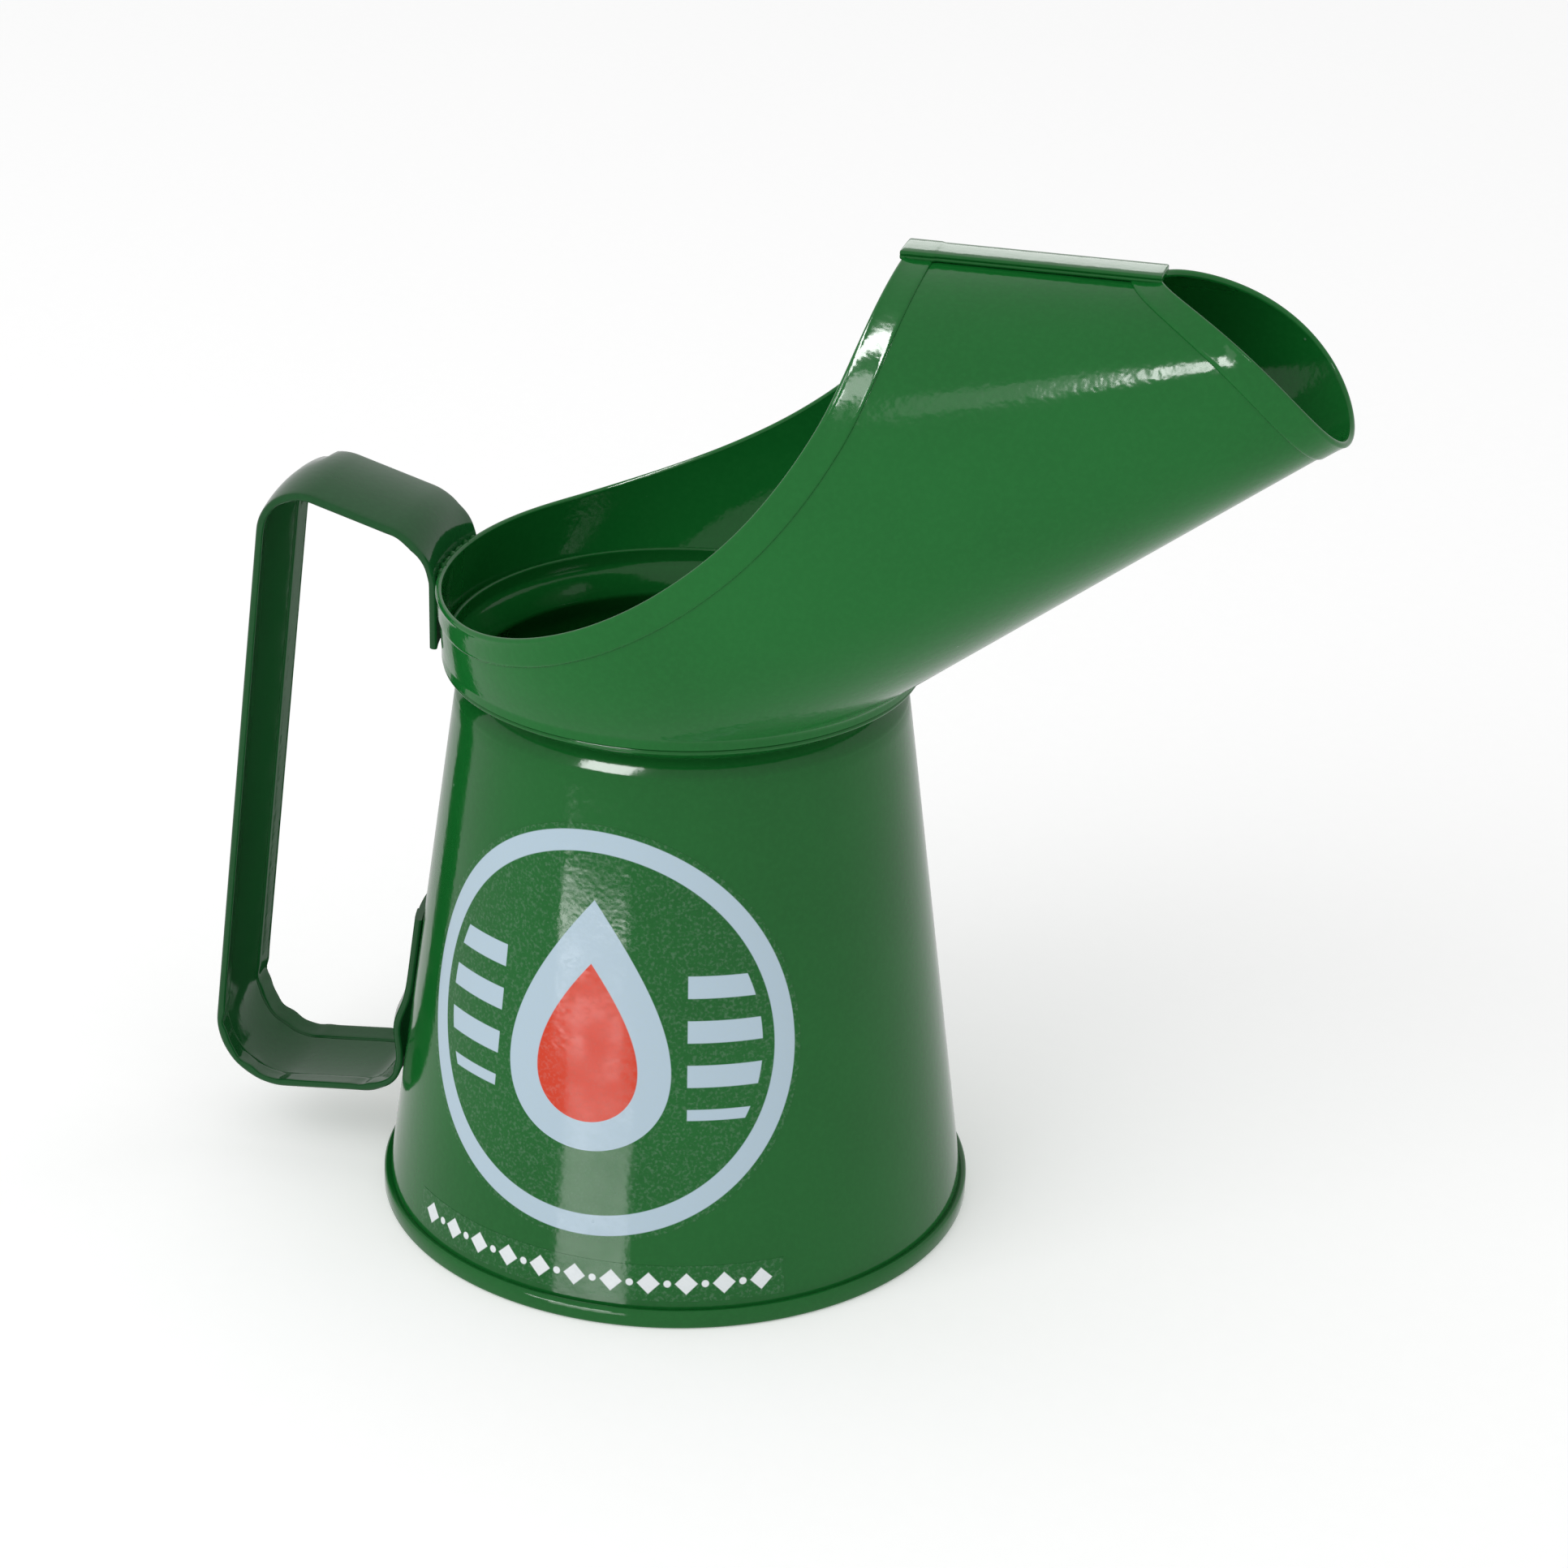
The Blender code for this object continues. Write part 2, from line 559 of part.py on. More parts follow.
def make_emblem(material, shift_x):
    """Round transfer on the side wall."""
    rings = np.linspace(0, EMBLEM_REACH, EMBLEM_RINGS + 1)[1:, None]
    turns = np.linspace(0, 2 * math.pi, EMBLEM_TURNS, endpoint=False)
    flat_x = rings * np.cos(turns)
    flat_z = rings * np.sin(turns)
    bm = bmesh.new()
    edges = []
    for lift in (GAP + FILM, GAP):
        middle = grid_verts(bm, on_wall(np.zeros((1, 1)), np.zeros((1, 1)), EMBLEM_HEIGHT, lift), shift_x)[0][0]
        circles = grid_verts(bm, on_wall(flat_x, flat_z, EMBLEM_HEIGHT, lift), shift_x)
        closed = [circle + circle[:1] for circle in circles]
        for first, second in zip(closed[0], closed[0][1:]):
            bm.faces.new((middle, first, second))
        cover(bm, closed)
        edges.append(closed[-1])
    bridge(bm, edges[0], edges[1])
    return add_object("emblem_transfer", bm, material)


def make_border(material, shift_x):
    """Narrow transfer round the foot of the wall, under the emblem."""
    half_span = math.radians(BORDER_SPAN / 2) * body_radius(BORDER_HEIGHT)
    flat_x, flat_z = np.meshgrid(np.linspace(-half_span, half_span, BORDER_STEPS + 1),
                                 np.array([-BORDER_WIDTH / 2, BORDER_WIDTH / 2]), indexing="ij")
    outer = on_wall(flat_x, flat_z, BORDER_HEIGHT, GAP + FILM)
    inner = on_wall(flat_x, flat_z, BORDER_HEIGHT, GAP)
    return add_object("border_transfer", slab(outer, inner, shift_x), material)


def make_material(name, colour, roughness, metallic, coat=0.0):
    material = bpy.data.materials.new(name)
    material.use_nodes = True
    shader = material.node_tree.nodes["Principled BSDF"]
    shader.inputs["Base Color"].default_value = (*colour, 1.0)
    shader.inputs["Roughness"].default_value = roughness
    shader.inputs["Metallic"].default_value = metallic
    shader.inputs["Coat Weight"].default_value = coat
    return material


def main():
    for obj in list(bpy.data.objects):
        bpy.data.objects.remove(obj, do_unlink=True)
    strap_back = strap_path()[:, 0].min()
    hem_reach = (HEM_OVERHANG * UNDERSIDE_RUN + HEM_SHEET) / math.hypot(UNDERSIDE_RUN, 1.0)
    shift_x = -(LIP_REACH + hem_reach + strap_back) / 2
    body_green = make_material("body enamel", (0.028, 0.170, 0.042), 0.22, 0.0, 0.6)
    pan_green = make_material("base enamel", (0.026, 0.160, 0.040), 0.25, 0.0, 0.5)
    hood_green = make_material("hood enamel", (0.030, 0.175, 0.045), 0.20, 0.0, 0.6)
    strip_green = make_material("strip enamel", (0.025, 0.150, 0.038), 0.24, 0.0, 0.5)
    strap_green = make_material("handle enamel", (0.027, 0.150, 0.040), 0.24, 0.0, 0.5)
    emblem_print = make_material("emblem print", (0.500, 0.640, 0.740), 0.35, 0.0)
    border_print = make_material("border print", (0.800, 0.820, 0.820), 0.35, 0.0)
    make_body(body_green, shift_x)
    make_pan(pan_green, shift_x)
    make_hood(hood_green, shift_x)
    make_strip(strip_green, shift_x)
    make_handle(strap_green, shift_x)
    make_emblem(emblem_print, shift_x)
    make_border(border_print, shift_x)


main()
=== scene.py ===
"""Garage oil pouring jug in green enamelled tinplate, with a plain studio round it.

Laid out as an add-on: sizes and colours are properties, and each piece has its
own operator.  Shapes are worked out in millimetres from the body's axis and are
put into meshes in metres, in the frame's own place.
"""

import math

import bmesh
import bpy
import numpy as np
from mathutils import Matrix, Vector


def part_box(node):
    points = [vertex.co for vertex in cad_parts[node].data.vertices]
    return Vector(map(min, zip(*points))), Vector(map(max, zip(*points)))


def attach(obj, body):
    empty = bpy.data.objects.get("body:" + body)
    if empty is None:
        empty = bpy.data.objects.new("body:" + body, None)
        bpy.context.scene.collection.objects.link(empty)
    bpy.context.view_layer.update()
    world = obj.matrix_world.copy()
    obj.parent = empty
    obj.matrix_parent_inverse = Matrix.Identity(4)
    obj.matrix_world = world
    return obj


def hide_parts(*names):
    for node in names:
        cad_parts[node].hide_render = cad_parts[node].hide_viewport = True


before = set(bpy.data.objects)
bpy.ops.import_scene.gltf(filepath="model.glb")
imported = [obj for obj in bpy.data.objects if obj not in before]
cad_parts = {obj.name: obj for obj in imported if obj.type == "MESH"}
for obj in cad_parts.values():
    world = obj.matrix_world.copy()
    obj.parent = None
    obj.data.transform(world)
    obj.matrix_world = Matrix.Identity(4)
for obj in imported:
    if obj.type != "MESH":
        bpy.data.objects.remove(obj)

bl_info = {
    "name": "Oil Pouring Jug",
    "version": (1, 0, 0),
    "blender": (4, 5, 0),
    "location": "View3D > Sidebar > Jug",
    "description": "Enamelled sheet-metal oil pouring jug with a strap handle",
    "category": "Add Mesh",
}

MM = 0.001
PAN_LOW, PAN_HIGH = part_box("base_pan")
HOOD_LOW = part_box("pouring_hood")[0]
STRIP_LOW, STRIP_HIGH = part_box("top_seam_strip")
AXIS_X = (PAN_LOW.x + PAN_HIGH.x) / 2 / MM       # body's axis in the frame, millimetres

# Hood surface, millimetres from the body's axis
NECK = HOOD_LOW.z / MM
COLLAR = 48.4            # radius of the hood's round lower edge
COLLAR_BAND = 1.65       # upright band above that edge
HOOD_RISE = 85.9         # from the band to the crest
CREST = NECK + COLLAR_BAND + HOOD_RISE
UNDERSIDE_RUN = 1.38     # forward reach of the underside for each unit of rise
CREST_NARROWING = 0.34
BACK_SQUARENESS = 2.9
REAR_RIM = 14.5          # mouth's edge above the collar's edge, at the handle
MOUTH_CORNER = 43.5      # where the mouth's edge reaches the crest
LIP_REACH = 128.9
LIP_TOP = 91.0
LIP_BULGE = 4.7
SEAM_GAP = 1.0
MOUTH_SHAPE = ((0.187, 0.02), (0.413, 0.107), (0.637, 0.267), (0.806, 0.462), (0.92, 0.68))

# Body
SHOULDER_DROP = 3.0
SHOULDER_FLARE = 3.2
SHOULDER_BEND = 8.1      # where the rounded shoulder starts, below the neck
SHOULDER_ROUND = 2.5     # its tighter radius, next to the wall
SHOULDER_TURN = 14.0     # its wider radius, next to the groove
LAP_HALF, LAP_EDGE, LAP_HEIGHT = 2.0, 0.5, 0.28      # the wall's lap seam
FOOT_GAP = 0.9           # between the bead's outside and the wall's foot, as a radius

# Handle, side view
TAB_RADIUS = COLLAR + 1.0
GRIP_BACK = 44.9
GRIP_LEAN = 0.1134
TOP_RUN_RISE = 23.5
TOP_RUN_SLOPE = 0.29
LOW_RUN_HEIGHT = 15.6
LOW_RUN_SLOPE = 0.103
STRAP_BENDS = (10.0, 11.0, 15.0, 8.0)
UPPER_TAB_DROP = 0.3
LOWER_TAB_END = 59.0
STAND_OFF = 2.1          # how far the lower tab bulges off the wall
PUCKER = 0.24            # ripples where the folds are bent
DENT = 0.9               # dents in the far edge of the upper bend

# Transfers
SKIN_LIFT = 0.06         # a transfer's face above the wall
SKIN_ROOT = -0.3         # its back, let into the wall
RING_RADIUS, RING_HALF = 39.6, 2.15
BAR_PITCH, BAR_HALF, BAR_SHIFT = 4.6, 2.3, 103.4
LOZENGE_STEP, LOZENGE_REACH, DOT_RADIUS = 7.6, 2.3, 0.75

# Stage
FLOOR_HALF, FLOOR_GLOW, SKY = 6.0, 0.28, 0.70
REACH = 1.5              # from a light to what it is aimed at, metres
CONE_SPOT = (AXIS_X * MM, -0.050, 0.060)
NECK_SPOT = (AXIS_X * MM, -0.044, 0.114)
HOOD_SPOT = (AXIS_X * MM + 0.080, -0.025, 0.195)
GRIP_SPOT = (AXIS_X * MM - 0.09, 0, 0.09)
HOOD_PIECES = ("jug_hood", "mouth_hem", "lip_hem")
LOW_PIECES = ("jug_body", "jug_base", "emblem_print", "border_print")
# Panels seen in the enamel: name, target, azimuth, elevation, width and height in
# degrees as seen from the target, radiance, and the pieces that they light
PANELS = (
    ("window_left", NECK_SPOT, -27.0, 46.0, 22.0, 24.0, 26.0, ("jug_body",)),
    ("rim_top", HOOD_SPOT, -30.0, 84.0, 60.0, 9.0, 40.0, ("mouth_hem",)),
    ("rim_line", HOOD_SPOT, -22.0, 66.0, 40.0, 10.0, 9.0, ("mouth_hem",)),
    ("window_right", HOOD_SPOT, 8.5, 57.5, 14.0, 10.0, 1.3, HOOD_PIECES),
    ("window_edge", HOOD_SPOT, 18.0, 57.0, 3.4, 8.0, 26.0, HOOD_PIECES),
    ("low_panel_top", CONE_SPOT, -23.5, -13.2, 31.0, 2.6, 17.0, LOW_PIECES),
    ("low_panel", CONE_SPOT, -16.5, -17.8, 27.0, 6.6, 5.5, LOW_PIECES),
    ("back_panel", HOOD_SPOT, 194.0, 15.0, 34.0, 13.0, 2.2, ("jug_strip",)),
)


# ------------------------------------------------------------------ properties

def length(name, description, millimetres):
    """A length property whose default is given in millimetres."""
    return bpy.props.FloatProperty(name=name, description=description, default=millimetres * MM,
                                   min=0.0, unit="LENGTH", precision=5)


def colour(name, description, value):
    """A colour property, in linear red, green and blue."""
    return bpy.props.FloatVectorProperty(name=name, description=description, default=value,
                                         size=3, min=0.0, max=1.0, subtype="COLOR")


class JugSizes(bpy.types.PropertyGroup):
    """Sizes that can be changed"""
    bead_radius: length("Bead radius", "Outside radius of the base pan's bead",
                        PAN_HIGH.x / MM - AXIS_X)
    bead_height: length("Bead height", "Height of the base pan's bead", 4.2)
    sheet: length("Sheet", "Thickness of the tinplate", 0.7)
    hem_width: length("Hem width", "Width of the folded hem at mouth and lip", 5.2)
    neck_flange: length("Neck flange", "How far the neck stands up inside the hood", 5.0)
    strap_width: length("Strap width", "Width of the handle's strap", 27.0)
    strap_hem: length("Strap hem", "Width of the folds along the strap's edges", 5.0)
    strap_crown: length("Strap crown", "How far the strap's middle stands out", 1.2)
    emblem_radius: length("Emblem radius", "Radius of the round transfer", 43.0)
    emblem_height: length("Emblem height", "Height of the round transfer's centre", 60.0)
    border_width: length("Border width", "Width of the transfer round the foot", 7.6)
    border_height: length("Border height", "Height of that transfer's middle", 9.4)
    transfer_turn: bpy.props.FloatProperty(
        name="Transfer turn", description="Turn of the transfers from the side towards the lip",
        default=math.radians(-4.0), subtype="ANGLE")
    border_span: bpy.props.FloatProperty(
        name="Border span", description="Angle that the border covers round the body",
        default=math.radians(82.0), subtype="ANGLE")


class JugColours(bpy.types.PropertyGroup):
    """Paint and ink colours; the hood's and the handle's enamels are a lighter and a darker copy of the one
    green, as painted light and painted shade
    """
    paint: colour("Enamel", "Green enamel of body, base, seam strip and solder", (0.0060, 0.1120, 0.0175))
    # Painted light: a lighter copy of the one green enamel, standing in for the light that falls on the hood
    hood_paint_painted_light: colour("Hood enamel", "Green enamel of the hood and its hems", (0.0064, 0.1310, 0.0205))
    # Painted shade: a darker copy of the one green enamel, standing in for the shade that falls on the
    # handle
    strap_paint_painted_shade: colour("Handle enamel", "Green enamel of the handle", (0.0065, 0.0680, 0.0160))
    pale_ink: colour("Pale ink", "Pale blue-white ink of the transfers", (0.440, 0.560, 0.650))
    red_ink: colour("Red ink", "Orange-red ink of the emblem's drop", (0.620, 0.046, 0.016))
    white_ink: colour("White ink", "White ink of the border", (0.760, 0.800, 0.820))
    floor: colour("Floor", "Plain pale floor", (0.90, 0.90, 0.90))


def sizes():
    """The size properties in millimetres, angles in radians."""
    group = bpy.context.scene.jug_sizes
    values = {}
    for key in JugSizes.__annotations__:
        scale = 1.0 if key in ("transfer_turn", "border_span") else MM
        values[key] = getattr(group, key) / scale
    return values


# -------------------------------------------------------------------- mesh tools

def grid_faces(rows, columns, wrap_rows=False, wrap_columns=False, start=0):
    """Corners of the quads of a grid whose vertices are numbered row by row."""
    r = np.arange(rows if wrap_rows else rows - 1)[:, None]
    c = np.arange(columns if wrap_columns else columns - 1)[None, :]
    after_r = (r + 1) % rows
    after_c = (c + 1) % columns
    corners = [r * columns + c, after_r * columns + c,
               after_r * columns + after_c, r * columns + after_c]
    return (np.stack(corners, -1).reshape(-1, 4) + start).tolist()


def tube_faces(rows, columns):
    """Faces of a closed tube: its skin, and one flat cap at each end."""
    caps = [list(range(columns)), list(range((rows - 1) * columns, rows * columns))]
    return grid_faces(rows, columns, wrap_columns=True) + caps


def piece(name, points, faces, material, replaces=(), sharp=50.0, place=None):
    """Make one finished piece: merge doubles, face outwards, shade, ride on the frame."""
    points = np.array(points, dtype=float).reshape(-1, 3)
    points[:, 0] += AXIS_X
    mesh = bpy.data.meshes.new(name)
    mesh.from_pydata((points * MM).tolist(), [], faces)
    if place is not None:
        layer = mesh.uv_layers.new(name="print")
        corners = np.empty(len(mesh.loops), dtype=np.int32)
        mesh.loops.foreach_get("vertex_index", corners)
        layer.data.foreach_set("uv", place.reshape(-1, 2)[corners].astype(np.float32).ravel())
    bm = bmesh.new()
    bm.from_mesh(mesh)
    bmesh.ops.remove_doubles(bm, verts=bm.verts, dist=1e-6)
    bmesh.ops.dissolve_degenerate(bm, edges=bm.edges, dist=1e-7)
    bmesh.ops.recalc_face_normals(bm, faces=bm.faces)
    bm.to_mesh(mesh)
    bm.free()
    mesh.shade_smooth()
    mesh.set_sharp_from_angle(angle=math.radians(sharp))
    mesh.materials.append(material)
    obj = bpy.data.objects.new(name, mesh)
    bpy.context.scene.collection.objects.link(obj)
    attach(obj, "root")
    if replaces:
        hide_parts(*replaces)
    return obj


def turned(outline, angles, swell=0.0):
    """Surface of revolution: each outline point (radius, height) goes round the axis.

    Swell is added to the radius; it may differ from angle to angle and point to point.
    """
    outline = np.asarray(outline, dtype=float)
    angle = np.asarray(angles)[:, None]
    radius, height = outline[None, :, 0] + swell, outline[None, :, 1]
    points = np.stack([radius * np.cos(angle), radius * np.sin(angle), height + 0 * angle], -1)
    return points, grid_faces(len(angles), len(outline), wrap_rows=True)


def round_angles(steps):
    """Even angles once round a circle."""
    return np.linspace(0, 2 * np.pi, steps, endpoint=False)


def arc(centre, radius, start, end, steps=8):
    """Points on an arc in the outline's plane, angles in degrees."""
    angles = np.radians(np.linspace(start, end, steps + 1))
    return [(centre[0] + radius * math.cos(a), centre[1] + radius * math.sin(a)) for a in angles]


def unit(vectors):
    """Each row over its own length."""
    return vectors / np.linalg.norm(vectors, axis=1)[:, None]


def dense(outline, spacing):
    """Add even points along an outline's straight runs."""
    outline = np.asarray(outline, dtype=float)
    out = []
    for a, b in zip(outline, outline[1:]):
        steps = max(1, int(np.linalg.norm(b - a) / spacing))
        out.append(a + (b - a) * (np.arange(steps) / steps)[:, None])
    out.append(outline[-1:])
    return np.concatenate(out)


# ------------------------------------------------------------------ hood surface

def hood_section(x, z):
    """Squared half width of the hood at x, z.

    With h the height above the collar band, H its value at the crest, L the
    length of the level section and s its share from front to back, it is
    k (H - h) L s (1 - s**m); k falls and m grows evenly with h.
    """
    rise = np.maximum(z - NECK - COLLAR_BAND, 0.0)
    share = rise / HOOD_RISE
    front = COLLAR + rise * UNDERSIDE_RUN
    span = front + COLLAR
    s = (front - x) / span
    fullness = 2 * COLLAR / HOOD_RISE * (1 - CREST_NARROWING * share)
    power = 1 + BACK_SQUARENESS * share
    return fullness * (HOOD_RISE - rise) * span * s * (1 - np.sign(s) * np.abs(s) ** power)


def hood_gradient(points):
    """Gradient of y squared less the squared half width, by central differences."""
    step = 0.02
    x, y, z = points.T
    slope_x = (hood_section(x + step, z) - hood_section(x - step, z)) / (2 * step)
    slope_z = (hood_section(x, z + step) - hood_section(x, z - step)) / (2 * step)
    return np.stack([-slope_x, 2 * y, -slope_z], axis=1)


def hood_normals(points):
    """Outward unit normals of the hood: its gradient over its length."""
    return unit(hood_gradient(points))


def onto_hood(points):
    """Slide points along the surface's normal until they lie on the hood."""
    for _ in range(8):
        gradient = hood_gradient(points)
        excess = points[:, 1] ** 2 - hood_section(points[:, 0], points[:, 2])
        shift = np.clip(excess / (gradient ** 2).sum(axis=1), -0.05, 0.05)
        points = points - gradient * shift[:, None]
    return points


def lifted(x, z):
    """Points of the side view moved out to the hood's surface, on the +Y side."""
    return np.stack([x, np.sqrt(np.maximum(hood_section(x, z), 0.0)), z], axis=-1)


def smooth_curve(knots, where):
    """Cardinal spline through 2-D knots, read at shares of its chord length."""
    knots = np.asarray(knots, dtype=float)
    chords = np.linalg.norm(np.diff(knots, axis=0), axis=1)
    place = np.concatenate([[0.0], np.cumsum(chords)]) / chords.sum()
    tangents = np.gradient(knots, place, axis=0)
    index = np.clip(np.searchsorted(place, where, side="right") - 1, 0, len(chords) - 1)
    span = (place[index + 1] - place[index])[:, None]
    t = ((where - place[index]) / span[:, 0])[:, None]
    return ((2 * t**3 - 3 * t**2 + 1) * knots[index] + (t**3 - 2 * t**2 + t) * span * tangents[index]
            + (3 * t**2 - 2 * t**3) * knots[index + 1] + (t**3 - t**2) * span * tangents[index + 1])


def eased(share):
    """Half a cosine wave from 0 to 1, which crowds points towards both ends."""
    return (1 - np.cos(np.pi * share)) / 2


def seam_height(x):
    """Height near the crest where the hood is twice the seam gap wide, on a straight slope."""
    depth = 0.5
    return CREST - SEAM_GAP**2 / (hood_section(x, CREST - depth) / depth)


def mouth_outline(share):
    """Mouth's edge in side view, from the handle's side to the crest."""
    start = np.array([-COLLAR, NECK + REAR_RIM])
    end = np.array([MOUTH_CORNER, seam_height(MOUTH_CORNER)])
    knots = [start] + [start + (end - start) * shares for shares in MOUTH_SHAPE] + [end]
    return smooth_curve(knots, eased(share))


def lip_bottom():
    """Lowest point of the lip, where the straight underside ends."""
    return np.array([LIP_REACH, NECK + COLLAR_BAND + (LIP_REACH - COLLAR) / UNDERSIDE_RUN])


def side_view(along, girth):
    """Side view of half the hood: along 0 to 1 round the collar, 1 to 2 out to the lip."""
    back = np.minimum(along, 1.0)
    front = np.maximum(along - 1.0, 0.0)
    rise = front * (lip_bottom()[1] - NECK)
    lower_x = np.where(front > 0, COLLAR + np.maximum(rise - COLLAR_BAND, 0) * UNDERSIDE_RUN,
                       -COLLAR * np.cos(np.pi * back))
    lower = np.stack([lower_x, NECK + rise], -1)
    crest_x = MOUTH_CORNER + front * (LIP_TOP - MOUTH_CORNER)
    crest = np.stack([crest_x, seam_height(crest_x)], -1)
    upper = np.where((along < 1.0)[:, None], mouth_outline(back), crest)
    mix = np.clip(2 * along - 1, 0, 1)[:, None]
    share = (1 - mix) * girth + mix * eased(girth)
    run = upper - lower
    bow = LIP_BULGE * front**2 / np.linalg.norm(run, axis=1)
    sideways = np.stack([run[:, 1], -run[:, 0]], -1) * bow[:, None]
    offset = 4 * share * (1 - share)
    return lower[:, None] + share[..., None] * run[:, None] + offset[..., None] * sideways[:, None]


def lip_outline(share):
    """Lip's edge in side view, from the underside to the crest."""
    return side_view(np.array([2.0]), share)[0]


def mirrored(points):
    """The same points on the other side of the middle plane."""
    return points * np.array([1.0, -1.0, 1.0])


# ------------------------------------------------------------------------ body

def wall_radius(height):
    """Radius of the tapered wall: it falls evenly from the foot to the throat."""
    foot = sizes()["bead_radius"] - FOOT_GAP
    throat = COLLAR - SHOULDER_FLARE
    return foot - (foot - throat) * height / (NECK - SHOULDER_DROP)


def body_outline(size):
    """Closed outline of the body's sheet.

    The wall rises to a rounded shoulder, turns in to a groove, swells out to a
    bead under the collar and ends in an upright flange with a rounded edge.
    """
    sheet = size["sheet"]
    foot = 1.0
    bend_z = NECK - SHOULDER_BEND
    bend_r = wall_radius(bend_z)
    change = 32
    shoulder = arc((bend_r - SHOULDER_ROUND, bend_z - 0.3), SHOULDER_ROUND, 8, change, 6)
    turned_r = shoulder[-1][0] - SHOULDER_TURN * math.cos(math.radians(change))
    turned_z = shoulder[-1][1] - SHOULDER_TURN * math.sin(math.radians(change))
    shoulder += arc((turned_r, turned_z), SHOULDER_TURN, change + 1, 46, 8)
    groove_r, groove_z = shoulder[-1][0] - 0.3, shoulder[-1][1] + 0.32
    flare = [(groove_r, groove_z), (groove_r + 0.12, groove_z + 0.12), (groove_r + 0.5, groove_z + 0.36),
             (groove_r + 1.1, groove_z + 0.8), (COLLAR - 2.2, NECK - 1.85), (COLLAR - 1.2, NECK - 1.0)]
    edge = arc((COLLAR - 0.72, NECK - 0.66), 0.55, -45, 80, 8)
    flange = COLLAR - sheet - 0.35
    top = NECK + size["neck_flange"] - 0.8
    rolled = arc((flange - 0.55, top - 0.55), 0.55, 0, 180, 10)
    outer = [(wall_radius(foot), foot), (bend_r, bend_z)] + shoulder + flare + edge + [(flange, NECK - 0.2)]
    inner = [(flange - 1.15, NECK + 1.6), (flange - 1.4, NECK + 1.0), (flange - 2.0, NECK + 0.3),
             (flange - 2.9, NECK - 0.7), (flange - 3.4, NECK - 1.8), (groove_r - sheet, groove_z + 0.1),
             (groove_r - sheet, groove_z - 0.9), (bend_r - 1.2, bend_z), (wall_radius(foot) - sheet, foot)]
    outline = outer + rolled + inner
    return np.concatenate([dense(outline, 2.5), [outline[0]]])


class JUG_OT_body(bpy.types.Operator):
    """Add the tapered body with its shoulder, bead and neck flange"""
    bl_idname = "jug.body"
    bl_label = "Body"

    def execute(self, context):
        outline = body_outline(sizes())
        near_seam = np.pi + np.radians(np.linspace(-4.0, 4.0, 41))
        angles = np.union1d(round_angles(240), near_seam)
        mean_radius = 52.0
        from_seam = np.abs((angles - np.pi) * mean_radius)
        lap = np.clip(LAP_HALF / LAP_EDGE - from_seam / LAP_EDGE, 0, 1)[:, None] * LAP_HEIGHT
        radius, height = outline[:, 0], outline[:, 1]
        upright = (height > PAN_HIGH.z / MM) & (height < NECK - 5.0)
        outside = radius > wall_radius(height) - 0.2
        points, faces = turned(outline, angles, lap * (upright & outside)[None, :])
        piece("jug_body", points, faces, enamel("body_enamel", context.scene.jug_colours.paint, 1),
              ["tapered_body"])
        return {"FINISHED"}


class JUG_OT_base(bpy.types.Operator):
    """Add the recessed base plate with the rolled bead round it"""
    bl_idname = "jug.base"
    bl_label = "Base pan"

    def execute(self, context):
        size = sizes()
        bead, height = size["bead_radius"], size["bead_height"]
        plate = 3.2
        crown = height / 2
        wall = wall_radius(height)
        inside = wall_radius(plate) - 2.2
        outline = [(0, plate + 0.6), (inside, plate + 0.6), (inside + 0.4, plate + 0.2), (inside + 0.5, 1.0)]
        outline += [(wall - 0.25, 1.0), (wall - 0.25, height - 0.5), (wall + 0.12, height - 0.3)]
        outline += arc((bead - 0.85, height - 0.85), 0.85, 70, 25, 6)
        outline += [(bead - 0.02, crown)]
        outline += arc((bead - 0.85, 0.85), 0.85, -5, -90, 8)
        outline += arc((inside - 0.2, 0.35), 0.35, -90, -180, 6)
        outline += [(inside - 0.55, plate - 0.4), (inside - 0.95, plate), (0, plate)]
        points, faces = turned(dense(outline, 6.0), round_angles(240))
        piece("jug_base", points, faces, enamel("base_enamel", context.scene.jug_colours.paint, 2),
              ["base_pan"])
        return {"FINISHED"}


# ------------------------------------------------------------------------ hood

def hood_shell(sheet):
    """Closed shell of the hood's single sheet: two mirrored halves meet in the middle plane."""
    around, out, girths = 150, 80, 72
    along = np.concatenate([np.linspace(0, 1, around, endpoint=False), np.linspace(1, 2, out + 1)])
    girth = np.linspace(0, 1, girths + 1)
    view = side_view(along, girth)
    half = lifted(view[..., 0], view[..., 1])
    half[0, :, 1] = 0.0
    half[along >= 1.0, 0, 1] = 0.0
    rows, columns = half.shape[:2]
    points, faces, start = [], [], 0

    def edge(first, second, offset):
        """Quads that join two rows of vertices."""
        first, second = np.asarray(first), np.asarray(second)
        quads = np.stack([first[:-1], first[1:], second[1:], second[:-1]], -1)
        return (quads + offset).tolist()

    for side in (1.0, -1.0):
        outer = half * np.array([1.0, side, 1.0])
        facing = hood_normals(outer.reshape(-1, 3)).reshape(outer.shape)
        facing[0, :, 1] = 0.0
        inner = outer - facing * sheet
        points += [outer.reshape(-1, 3), inner.reshape(-1, 3)]
        faces += grid_faces(rows, columns, start=start)
        faces += grid_faces(rows, columns, start=start + rows * columns)
        number = np.arange(rows * columns).reshape(rows, columns)
        under = number + rows * columns
        faces += edge(number[:, -1], under[:, -1], start)
        faces += edge(number[:around + 1, 0], under[:around + 1, 0], start)
        faces += edge(number[-1], under[-1], start)
        start += 2 * rows * columns
    return np.concatenate(points), faces


